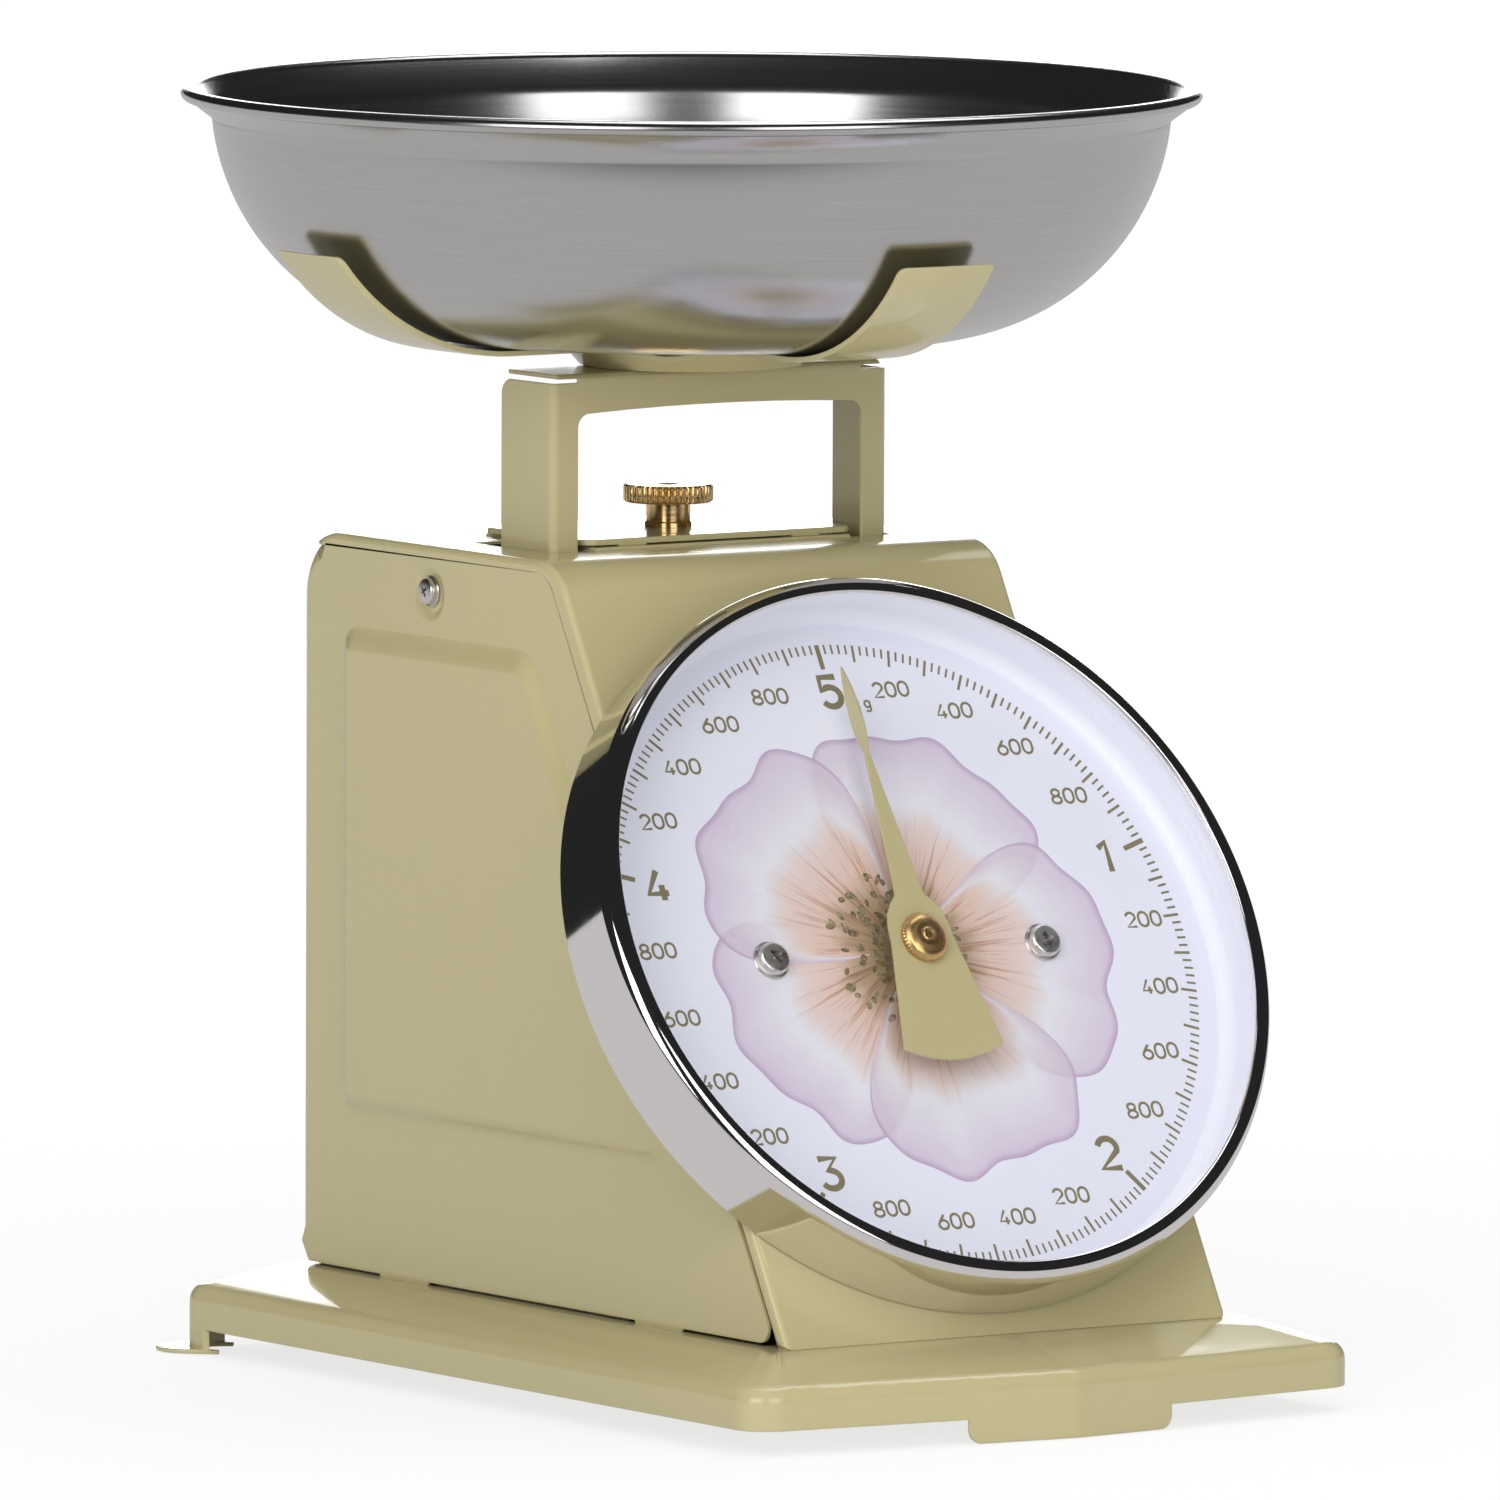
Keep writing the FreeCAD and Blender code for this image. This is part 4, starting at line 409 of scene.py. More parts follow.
def build_ring_grain(tree, given):
    """Fine brushed rings about the Z axis, as left by polishing on a lathe."""
    parts = add(tree, "SeparateXYZ", Vector=given["Point"]).outputs
    squared = maths(tree, "ADD", maths(tree, "POWER", parts[0], 2.0), maths(tree, "POWER", parts[1], 2.0))
    radius = maths(tree, "SQRT", squared)
    along = maths(tree, "ARCTAN2", parts[1], parts[0])
    line = add(tree, "CombineXYZ", X=radius, Y=maths(tree, "MULTIPLY", along, given["Length"]), Z=parts[2])
    fine = noise(tree, line.outputs[0], given["Fineness"], 3, 0.6)
    broad = noise(tree, line.outputs[0], maths(tree, "MULTIPLY", given["Fineness"], 0.22), 2, 0.5)
    both = maths(tree, "ADD", maths(tree, "MULTIPLY", fine, 0.6), maths(tree, "MULTIPLY", broad, 0.4))
    return both, broad


def build_line_grain(tree, given):
    """Fine parallel lines, as on rolled or drawn sheet."""
    stretched = add(tree, "Mapping", {"vector_type": "POINT"}, Vector=given["Point"], Scale=(0.06, 1, 1))
    fine = noise(tree, stretched.outputs[0], given["Fineness"], 3, 0.6)
    spots = noise(tree, given["Point"], 0.3, 3)
    return fine, spots


POINT_IN = ("Point", "Vector", None)
MOTTLE = group("Mottle", [("Color", "Vector", None), POINT_IN, ("Amount", "Float", 0.05)],
               [("Color", "Color"), ("Drift", "Float")], build_mottle)
RING_GRAIN = group("Ring grain", [POINT_IN, ("Fineness", "Float", 4.0), ("Length", "Float", 0.4)],
                   [("Grain", "Float"), ("Bands", "Float")], build_ring_grain)
LINE_GRAIN = group("Line grain", [POINT_IN, ("Fineness", "Float", 3.0)],
                   [("Grain", "Float"), ("Spots", "Float")], build_line_grain)


# ---------------------------------------------------------------- finishes
SAGE = linear(188, 178, 133)


def make_enamel(name, colour, gloss=0.24):
    """Sprayed enamel: a glossy coat with a faint orange peel and a little drift in its colour."""
    made, tree, shader = material(name, Coat_Weight=0.5, Coat_Roughness=0.05, Coat_IOR=1.5)
    point = object_point(tree)
    shade = use(tree, MOTTLE, Point=point, Amount=0.05, Color=colour)
    peel = noise(tree, point, 0.55, 2)
    rough = add(tree, "MapRange", Value=shade["Drift"], To_Min=gloss - 0.03, To_Max=gloss + 0.05)
    feed(tree, shader, Base_Color=shade["Color"], Roughness=rough.outputs[0])
    bump(tree, shader, peel, 0.012)
    return made


def make_metal(name, colour, rough, centre=(0, 0, 0), turn=(0, 0, 0), fineness=4.0, length=0.4,
               depth=0.004, contrast=0.12, spread=0.06, anisotropy=0.0):
    """Turned or ring-brushed metal, with its grain about the given axis."""
    made, tree, shader = material(name, Metallic=1.0, Anisotropic=anisotropy)
    point = object_point(tree, centre, turn)
    grain = use(tree, RING_GRAIN, Point=point, Fineness=fineness, Length=length)
    dark = tuple(part * (1 - contrast) for part in colour)
    light = tuple(min(part * (1 + contrast), 1.0) for part in colour)
    shade = ramp(tree, grain["Grain"], [(0.3, dark), (0.7, light)])
    level = add(tree, "MapRange", Value=grain["Bands"], From_Min=0.3, From_Max=0.7,
                To_Min=rough - spread, To_Max=rough + spread)
    feed(tree, shader, Base_Color=shade, Roughness=level.outputs[0])
    bump(tree, shader, grain["Grain"], depth)
    return made


def make_sheet_metal(name, colour, rough, fineness=3.0, contrast=0.1, depth=0.003):
    """Rolled or plated sheet with straight grain and cloudy spots."""
    made, tree, shader = material(name, Metallic=1.0)
    grain = use(tree, LINE_GRAIN, Point=object_point(tree), Fineness=fineness)
    dark = tuple(part * (1 - contrast) for part in colour)
    shade = ramp(tree, grain["Spots"], [(0.3, dark), (0.7, colour)])
    level = add(tree, "MapRange", Value=grain["Grain"], To_Min=rough - 0.08, To_Max=rough + 0.08)
    feed(tree, shader, Base_Color=shade, Roughness=level.outputs[0])
    bump(tree, shader, grain["Grain"], depth)
    return made


def make_matt(name, colour, rough, scale, depth, amount=0.15, metallic=0.0):
    """A matt or satin surface with a fine tooth, such as rubber, plastic or paper paint."""
    made, tree, shader = material(name, Metallic=metallic)
    point = object_point(tree)
    shade = use(tree, MOTTLE, Point=point, Amount=amount, Color=colour)
    tooth = noise(tree, point, scale, 4, 0.6)
    level = add(tree, "MapRange", Value=tooth, To_Min=rough - 0.06, To_Max=rough + 0.06)
    feed(tree, shader, Base_Color=shade["Color"], Roughness=level.outputs[0])
    bump(tree, shader, tooth, depth)
    return made


def make_glass():
    """Clear glass that lets light through to the dial behind it."""
    made, tree, shader = material("lens glass", Base_Color=(1, 1, 1, 1), Roughness=0.0, IOR=1.45,
                                  Transmission_Weight=1.0)
    path = add(tree, "LightPath").outputs
    passing = maths(tree, "MAXIMUM", path["Is Shadow Ray"], path["Is Diffuse Ray"])
    clear = add(tree, "BsdfTransparent", Color=(0.98, 0.985, 0.985, 1))
    mixed = add(tree, "MixShader", _0=passing, _1=shader.outputs[0], _2=clear.outputs[0])
    tree.links.new(mixed.outputs[0], tree.nodes["Material Output"].inputs["Surface"])
    return made


def make_petal():
    """Printed petal: peach heart with fine veins, pale middle and lilac rim, along the petal's own UV."""
    made, tree, shader = material("petal print", Roughness=0.42)
    parts = add(tree, "SeparateXYZ", Vector=add(tree, "TexCoord").outputs["UV"]).outputs
    across, out = parts[0], parts[1]
    spread = add(tree, "CombineXYZ", X=maths(tree, "MULTIPLY", across, 6.0), Y=out)
    wave = noise(tree, spread.outputs[0], 1.2, 2)
    reach = maths(tree, "ADD", out, maths(tree, "MULTIPLY", maths(tree, "SUBTRACT", wave, 0.5), 0.22))
    side = maths(tree, "ABSOLUTE", maths(tree, "SUBTRACT", across, 0.5))
    sides = maths(tree, "MULTIPLY", maths(tree, "POWER", maths(tree, "MULTIPLY", side, 2.0), 5.0), out)
    edge = maths(tree, "MAXIMUM", reach, sides)
    base = ramp(tree, edge, [
        (0.0, linear(140, 120, 84)), (0.24, linear(190, 162, 132)), (0.37, linear(238, 206, 190)),
        (0.55, linear(242, 219, 209)), (0.68, linear(246, 244, 250)), (0.82, linear(238, 228, 240)),
        (1.0, linear(226, 208, 228)),
    ])
    streak = add(tree, "CombineXYZ", X=maths(tree, "MULTIPLY", across, 34.0),
                 Y=maths(tree, "MULTIPLY", out, 1.6))
    vein = ramp(tree, noise(tree, streak.outputs[0], 1.0, 3, 0.7), [(0.38, 1.0), (0.47, 0.0)])
    fade = ramp(tree, out, [(0.32, 0.9), (0.7, 0.0)])
    strength = maths(tree, "MULTIPLY", vein, fade)
    shade = blend(tree, "MULTIPLY", strength, base, opaque(linear(206, 172, 146)))
    rim = ramp(tree, out, [(0.965, 0.0), (1.0, 1.0)])
    outlined = blend(tree, "MULTIPLY", rim, shade, opaque(linear(222, 208, 226)))
    sheer = ramp(tree, edge, [(0.0, 0.95), (0.4, 0.75), (0.9, 0.62), (1.0, 0.78)])
    feed(tree, shader, Base_Color=outlined, Alpha=sheer)
    return made


def make_stamen():
    """Sheer brown and olive print with cloudy tones."""
    made, tree, shader = material("stamen print", Roughness=0.5)
    cloud = noise(tree, object_point(tree), 0.7, 3, 0.6)
    shade = ramp(tree, cloud, [(0.32, linear(104, 84, 56)), (0.5, linear(150, 138, 104)),
                               (0.68, linear(206, 192, 150))])
    sheer = ramp(tree, cloud, [(0.3, 0.7), (0.7, 0.35)])
    feed(tree, shader, Base_Color=shade, Alpha=sheer)
    return made


def make_finishes():
    """Every finish by its short name."""
    bowl_axis = (0, BOWL_BACK, 0)
    knob_axis = (0, KNOB_BACK, 0)
    dial_centre = tuple(DIAL.translation / MM)
    dial_turn = tuple(DIAL.to_euler())
    steel = (0.57, 0.567, 0.56)
    return {
        "enamel": make_enamel("sage enamel", SAGE),
        "bowl": make_metal("brushed bowl steel", steel, 0.22, bowl_axis, fineness=7.0, length=0.8,
                           depth=0.0007, contrast=0.05, spread=0.012, anisotropy=0.3),
        "chrome": make_metal("bezel chrome", (0.84, 0.815, 0.81), 0.06, dial_centre, dial_turn,
                             fineness=2.0, depth=0.0004, contrast=0.02, spread=0.015),
        "screw": make_metal("screw chrome", (0.74, 0.72, 0.70), 0.3, fineness=3.0, depth=0.002,
                            contrast=0.08),
        "brass": make_metal("turned brass", (0.80, 0.56, 0.26), 0.16, knob_axis, fineness=5.0,
                            depth=0.003, contrast=0.12, spread=0.05),
        "cap_brass": make_metal("cap brass", (0.70, 0.47, 0.20), 0.27, dial_centre, dial_turn,
                                fineness=5.0, depth=0.004, contrast=0.14, spread=0.06),
        "turned": make_metal("turned steel", (0.62, 0.62, 0.63), 0.24, knob_axis, contrast=0.1),
        "zinc": make_sheet_metal("zinc plate", (0.56, 0.57, 0.58), 0.36),
        "spring": make_sheet_metal("spring steel", (0.36, 0.36, 0.38), 0.3, fineness=6.0),
        "rubber": make_matt("black rubber", (0.02, 0.02, 0.021), 0.7, 2.5, 0.02),
        "dial": make_matt("dial white", linear(229, 230, 242), 0.4, 1.2, 0.0004, amount=0.015),
        # The ring is white like the dial; its extra lightness over the dial white is painted light that
        # offsets the shade on its inner wall.
        "ring": make_matt("ring white with painted light", linear(236, 237, 247), 0.4, 1.2, 0.0004, amount=0.015),
        "ink": make_matt("olive print", linear(128, 119, 88), 0.5, 3.0, 0.002, amount=0.25),
        "stamen": make_stamen(),
        "petal": make_petal(),
        "glass": make_glass(),
    }


FINISH = make_finishes()


# ---------------------------------------------------------------- the sheet housing
def face_back(level, inset=0.0):
    """How far back the sloping face stands at a height, drawn in by inset."""
    centre = DIAL.translation / MM
    return centre.y + (level - centre.z) * math.tan(FACE_SLOPE) + inset / math.cos(FACE_SLOPE)


def cover_outline():
    """The rear cover's side, as (back, up) points with rounded corners and two tabs."""
    foot, top, back = COVER_FOOT, PANEL_HIGH.z - TOP_LIP - SEAM, COVER_HIGH.y
    inset = LIP + SEAM
    bend_back, bend_up = back - REAR_ROUND, PANEL_HIGH.z - REAR_ROUND
    start = math.degrees(math.asin((top - bend_up) / REAR_ROUND))
    bend = arc(bend_back, bend_up, REAR_ROUND, start, 0, 10)
    points = [(face_back(foot, inset), foot), (face_back(top, inset), top), *bend, (back, foot)]
    radii = [COVER_FOOT_ROUND, COVER_FRONT_ROUND] + [0] * (len(bend) + 1)
    for far, near in COVER_TABS:
        far, near = BOWL_BACK + far, BOWL_BACK + near
        points += [(far, foot), (far, COVER_LOW.z), (near, COVER_LOW.z), (near, foot)]
        radii += [0, 0.5, 0.5, 0]
    return rounded(points, radii)


def plateau_outline():
    """The raised field of a side, inside its margins."""
    top = PANEL_HIGH.z - FIELD_MARGIN_TOP
    rear = COVER_HIGH.y - FIELD_MARGIN_REAR
    inset = LIP + FIELD_MARGIN_FRONT
    foot = TRAY_TOP + FIELD_FOOT
    points = [(face_back(foot, inset), foot), (face_back(top, inset), top), (rear, top), (rear, foot)]
    return rounded(points, [7, 9, 6, 6])


def dimple_outline():
    """The shallow round hollow around a cover screw."""
    back = (SCREW_LOW.y + SCREW_HIGH.y) / 2
    up = (SCREW_LOW.z + SCREW_HIGH.z) / 2
    return arc(back, up - 0.6, SCREW_HOLLOW, 0, 352.5, 47)


def add_loop(bm, outline, across):
    """The edges of a closed loop on the plane x = across."""
    verts = [bm.verts.new((across * MM, back * MM, up * MM)) for back, up in outline]
    return [bm.edges.new(pair) for pair in zip(verts, verts[1:] + verts[:1])]


def emboss(bm, edges, slope, rise, steps=6):
    """Fills a loop and raises the field in it over a smooth slope."""
    fill = bmesh.ops.triangle_fill(bm, edges=edges, use_beauty=True, normal=(-1, 0, 0))["geom"]
    faces = [item for item in fill if isinstance(item, bmesh.types.BMFace)]
    faces = bmesh.ops.dissolve_faces(bm, faces=faces)["region"]
    last = 0.0
    for step in range(1, steps + 1):
        height = rise * (1 - math.cos(math.pi * step / steps)) / 2
        bmesh.ops.inset_region(bm, faces=faces, thickness=slope / steps * MM,
                               depth=(height - last) * MM, use_even_offset=True)
        last = height


def make_rear_cover():
    """Two embossed sides and the back, bent from one sheet."""
    bm = bmesh.new()
    side_edges = add_loop(bm, cover_outline(), -HOUSING_HALF)
    field_edges = add_loop(bm, plateau_outline(), -HOUSING_HALF)
    hollow_edges = add_loop(bm, dimple_outline(), -HOUSING_HALF)
    bmesh.ops.triangle_fill(bm, edges=side_edges + field_edges + hollow_edges, use_beauty=True,
                            normal=(-1, 0, 0))
    bmesh.ops.recalc_face_normals(bm, faces=bm.faces)
    if bm.faces[:][0].normal.x > 0:
        bmesh.ops.reverse_faces(bm, faces=bm.faces)
    emboss(bm, field_edges, FIELD_SLOPE, FIELD_RISE)
    emboss(bm, hollow_edges, 2.4, -0.7, 5)
    mirrored = bmesh.ops.mirror(bm, geom=bm.verts[:] + bm.edges[:] + bm.faces[:], axis="X",
                                merge_dist=0)["geom"]
    reversed_faces = [item for item in mirrored if isinstance(item, bmesh.types.BMFace)]
    bmesh.ops.recalc_face_normals(bm, faces=reversed_faces)
    foot = COVER_FOOT * MM
    back = COVER_HIGH.y * MM
    bend_back, bend_up = back - REAR_ROUND * MM, (PANEL_HIGH.z - REAR_ROUND) * MM

    def is_on_back(vert):
        if abs(vert.co.y - back) < 1e-6:
            return vert.co.z > foot - 1e-6
        reach = math.hypot(vert.co.y - bend_back, vert.co.z - bend_up)
        return vert.co.z > bend_up and vert.co.y > bend_back and abs(reach - REAR_ROUND * MM) < 1e-6

    def is_rear(edge):
        first, last = edge.verts
        return is_on_back(first) and is_on_back(last) and first.co.x == last.co.x

    def rear_edges():
        return [edge for edge in bm.edges if edge.link_faces and is_rear(edge)]

    bmesh.ops.bridge_loops(bm, edges=rear_edges())
    bmesh.ops.recalc_face_normals(bm, faces=bm.faces)
    bmesh.ops.bevel(bm, geom=rear_edges(), affect="EDGES", offset_type="OFFSET",
                    offset=COVER_BEND * MM, segments=8, profile=0.5, material=-1)
    return finished(bm, "rear_cover_shell", FINISH["enamel"], "housing",
                    ["rear_cover"], wall=SHEET)


def make_front_panel():
    """The face, top and tail, with soft long edges where the sheet turns into its side lips."""
    bm = cad_form("front_panel")
    outside = HOUSING_HALF * MM
    lip_rim_area = (1.5 * MM) ** 2

    def is_on_side(edge):
        return all(abs(abs(vert.co.x) - outside) < 1e-6 for vert in edge.verts)

    def turns_to_side(edge):
        sideways = sorted(abs(face.normal.x) for face in edge.link_faces)
        return len(sideways) == 2 and sideways[0] < 0.1 and sideways[1] > 0.9

    def is_at_lip_rim(edge):
        flat = [face for face in edge.link_faces if abs(face.normal.x) < 0.1]
        return any(face.calc_area() < lip_rim_area for face in flat)

    def is_outer(edge):
        return is_on_side(edge) and turns_to_side(edge) and not is_at_lip_rim(edge)

    soften(bm, FACE_EDGE_ROUND, 60, 5, is_outer)
    soften(bm, 0.2, 50)
    return finished(bm, "front_panel_shell", FINISH["enamel"], "housing", ["front_panel"])


def make_tray():
    """The pressed tray with its front foot and turned-out rear feet."""
    bm = cad_form("base_tray")
    soften(bm, 0.3, 35, 3)
    return finished(bm, "tray_shell", FINISH["enamel"], "housing", ["base_tray"])


def make_adjuster_plate():
    """The plate under the zero knob: bull-nosed edges that hover over the housing, on four feet."""
    half_length, half_depth = PLATE_HIGH.x, (PLATE_HIGH.y - PLATE_LOW.y) / 2
    place = Matrix.Translation((0, KNOB_BACK * MM, 0))
    top, low = PLATE_HIGH.z, PLATE_LOW.z
    rim = top - PLATE_RIM
    points = [
        (-half_length, -half_depth), (half_length, -half_depth),
        (half_length, half_depth), (-half_length, half_depth),
    ]
    slab = plate(rounded(points, [PLATE_CORNER] * 4, 8), rim, top, place)
    upper = [edge for edge in slab.edges if all(vert.co.z > (top - 0.01) * MM for vert in edge.verts)]
    bmesh.ops.bevel(slab, geom=upper, affect="EDGES", offset_type="OFFSET", offset=0.6 * MM,
                    segments=4, profile=0.5, material=-1)
    parts = [soften(slab, 0.2, 50)]
    for fore in (-1, 1):
        edge = fore * (half_depth - 0.75)
        for side in (-1, 1):
            near, far = side * PLATE_FOOT_NEAR, side * PLATE_FOOT_FAR
            foot = [(near, edge - 0.7), (far, edge - 0.7), (far, edge + 0.7), (near, edge + 0.7)]
            parts.append(soften(plate(rounded(foot, [0.5] * 4), low, rim + 0.2, place), 0.15, 50))
    return finished(joined(*parts), "adjuster_plate_shell", FINISH["enamel"], "housing",
                    ["adjuster_plate"])


def make_bracket():
    bm = soften(cad_form("load_bracket"), 0.3, 35, 3)
    return finished(bm, "load_bracket_shell", FINISH["enamel"], "platform", ["load_bracket"])


def make_cradle():
    bm = soften(cad_form("cradle"), 0.25, 35, 2)
    return finished(bm, "cradle_shell", FINISH["enamel"], "platform", ["cradle"])


# ---------------------------------------------------------------- the bowl
def make_bowl():
    """The turned bowl: flat foot, round wall, flared lip and rolled rim."""
    low = BOWL_LOW.z
    arc_up = low + BOWL_BEND
    bead_up = BOWL_HIGH.z - RIM_BEAD
    bead_out = BOWL_HIGH.x - RIM_BEAD
    wall_end = math.degrees(math.asin((BOWL_WALL - BOWL_BEND) / BOWL_BEND))
    outer = arc(BOWL_FOOT, arc_up, BOWL_BEND, -90, wall_end, 28)
    inner = arc(BOWL_FOOT, arc_up, BOWL_BEND - BOWL_SHEET, wall_end, -90, 28)
    bead = arc(bead_out, bead_up, RIM_BEAD, -100, 170, 18)
    profile = [(0, low), (BOWL_FOOT * 0.5, low), *outer, *bead, *inner,
               (BOWL_FOOT * 0.5, low + BOWL_SHEET), (0, low + BOWL_SHEET)]
    bm = turned(profile, 192, Matrix.Translation((0, BOWL_BACK * MM, 0)))
    return finished(bm, "steel_bowl", FINISH["bowl"], "bowl", ["bowl"], crease=50)


# ---------------------------------------------------------------- screws and knob
def cross_cut(bm, radius, top, depth, place):
    """Cuts a cross recess into a screw's head."""
    parts = []
    for angle in (0, math.pi / 2):
        wing = bmesh.new()
        bmesh.ops.create_cube(wing, size=1.0)
        size = Matrix.Diagonal((radius * 1.1 * MM, radius * 0.26 * MM, depth * MM, 1))
        bmesh.ops.transform(wing, matrix=Matrix.Rotation(angle, 4, "Z") @ size, verts=wing.verts)
        for vert in wing.verts:
            if vert.co.z < 0:
                vert.co.x *= 0.45
                vert.co.y *= 0.6
        bmesh.ops.translate(wing, verts=wing.verts, vec=(0, 0, (top - depth * 0.42) * MM))
        bmesh.ops.transform(wing, matrix=place, verts=wing.verts)
        parts.append(wing)
    return cut_away(bm, parts)


def cut_away(bm, cutters):
    """Takes the cutters' solids out of a solid."""
    body = stored(bm)
    for cutter in cutters:
        tool = stored(cutter)
        difference = body.modifiers.new("Cut", "BOOLEAN")
        difference.operation = "DIFFERENCE"
        difference.solver = "EXACT"
        difference.object = tool
        bpy.context.view_layer.update()
        result = bpy.data.meshes.new_from_object(body.evaluated_get(bpy.context.evaluated_depsgraph_get()))
        body.modifiers.clear()
        body.data = result
        bpy.data.objects.remove(tool)
    whole = bmesh.new()
    whole.from_mesh(body.data)
    bpy.data.objects.remove(body)
    return whole


def stored(bm):
    """A bmesh as a plain object."""
    bmesh.ops.recalc_face_normals(bm, faces=bm.faces)
    mesh = bpy.data.meshes.new("work")
    bm.to_mesh(mesh)
    bm.free()
    item = bpy.data.objects.new("work", mesh)
    bpy.context.scene.collection.objects.link(item)
    return item


def pan_screw(radius, height, seat, place, turn):
    """A pan head with a rounded shoulder, a nearly flat top and a cross recess."""
    crown = radius * 0.84
    round_off = min(height * 0.55, 0.9)
    profile = [(0, seat - 0.6), (radius * 0.5, seat - 0.6), (radius * 0.5, seat), (radius - 0.1, seat)]
    profile += [(radius, seat + 0.2), (radius - 0.2, seat + 0.45), (crown + 0.05, seat + 0.3)]
    profile += arc(crown - round_off, seat + height - 0.15 - round_off, round_off, 0, 84, 8)
    profile += [(radius * 0.35, seat + height - 0.02), (0, seat + height)]
    spun = place @ Matrix.Rotation(turn, 4, "Z")
    return cross_cut(turned(profile, 48, spun), crown * 0.85, seat + height, height * 0.75, spun)


def make_screws():
    """Two screws on the dial and one in each side of the cover."""
    _, high, radius = dial_span("dial_screws")
    offset = radius - DIAL_SCREW_INSET
    seat = dial_span("dial_plate")[1]
    heads = []
    for side, turn in ((-1, 0.5), (1, 0.25)):
        place = DIAL @ Matrix.Translation((side * offset * MM, 0, 0))
        heads.append(pan_screw(DIAL_SCREW_HEAD, high - seat, seat, place, turn))
    finished(joined(*heads), "dial_screw_heads", FINISH["screw"], "housing",
             ["dial_screws"])
    heads = []
    back, up = (SCREW_LOW.y + SCREW_HIGH.y) / 2, (SCREW_LOW.z + SCREW_HIGH.z) / 2
    for side, turn in ((-1, 0.6), (1, 0.2)):
        out = Matrix.Rotation(side * math.pi / 2, 4, "Y")
        place = Matrix.Translation((side * (HOUSING_HALF - 0.4) * MM, back * MM, up * MM)) @ out
        heads.append(pan_screw(COVER_SCREW_HEAD, COVER_SCREW_HEIGHT, 0.0, place, turn))
    finished(joined(*heads), "cover_screw_heads", FINISH["screw"], "housing",
             ["cover_screws"])


def knurled(profile, grooves, depth, low, high, place):
    """A turned piece whose edge between two heights has straight rounded ridges."""
    bm = turned(profile, grooves * 6)
    for vert in bm.verts:
        radius, angle = vert.co.xy.length, math.atan2(vert.co.y, vert.co.x)
        if low <= vert.co.z / MM <= high and radius > 1 * MM:
            ridge = abs(math.sin(angle * grooves / 2))
            vert.co.xy *= 1 - depth * MM / radius * (1 - ridge) ** 1.4
    bmesh.ops.transform(bm, matrix=place, verts=bm.verts)
    return bm


def make_knob():
    """The brass zero knob: knurled head with bevelled rims, dished top and a turned neck."""
    radius = KNOB_HIGH.x
    top = KNOB_HIGH.z
    head_low = top - KNOB_HEAD
    foot = PLATE_HIGH.z
    collar, waist = KNOB_NECK + 0.25, KNOB_NECK - 0.1
    rim = radius - 0.5
    profile = [(0, KNOB_LOW.z), (2, KNOB_LOW.z), (2, foot - 0.05), (collar, foot + 0.05),
               (collar, foot + 1.0), (waist, foot + 1.3), (waist, head_low - 0.3),
               (KNOB_NECK + 0.3, head_low), (rim, head_low),
               (radius, head_low + 0.45), (radius, head_low + 1.8),
               (radius, top - 0.45), (rim, top), (radius - 2.6, top), (radius - 3.0, top - 0.15),
               (2.6, top - 0.15), (2.3, top - 0.5), (0, top - 0.5)]
    place = Matrix.Translation((0, KNOB_BACK * MM, 0))
    bm = knurled(profile, 44, 0.55, head_low + 0.2, top - 0.2, place)
    return finished(bm, "brass_knob", FINISH["brass"], "knob", ["zero_knob"], crease=38)


# ---------------------------------------------------------------- the dial
def make_bezel():
    """The drawn chrome ring, rolled over at the front and turned down onto the lens."""
    low, high, radius = dial_span("bezel_ring")
    seat = dial_span("lens")[1]
    radius += BEZEL_SWELL
    high += BEZEL_SWELL
    lip = radius - 4.4
    bead = 0.75
    profile = [(radius - SHEET, low), (radius, low)]
    profile += arc(radius - BEZEL_ROLL, high - BEZEL_ROLL, BEZEL_ROLL, 0, 78, 12)
    profile += arc(lip + bead, high - bead - 0.05, bead, 95, 235, 10)
    profile += [(lip + 0.9, seat + 0.05), (radius - SHEET, seat + 0.05)]
    bm = turned(profile, 256, DIAL, closed=True)
    return finished(bm, "chrome_bezel", FINISH["chrome"], "housing", ["bezel_ring"],
                    crease=50)


def make_lens():
    low, high, radius = dial_span("lens")
    profile = [(0, low), (radius - 0.3, low), (radius, low + 0.3),
               (radius, high - 0.3), (radius - 0.3, high), (0, high)]
    bm = turned(profile, 160, DIAL)
    return finished(bm, "glass_lens", FINISH["glass"], "housing", ["lens"])


def make_lens_ring():
    """The white spacer ring, with a hollow corner that runs out onto the dial."""
    inward = DIAL.inverted()
    radii = [(inward @ vertex.co / MM).xy.length for vertex in frame["nodes"]["lens_ring"].data.vertices]
    _, high, outer = dial_span("lens_ring")
    inner, seat = min(radii) - 0.1, dial_span("dial_plate")[1] + 0.02
    hollow = 3.0
    profile = [(outer, high - 0.02), (inner, high - 0.02)]
    profile += arc(inner - hollow, seat + hollow, hollow, 0, -88, 12)
    profile += [(inner - hollow, seat - 0.02), (outer, seat - 0.02)]
    bm = turned(profile, 192, DIAL, closed=True)
    return finished(bm, "lens_ring_shell", FINISH["ring"], "housing", ["lens_ring"],
                    crease=60)


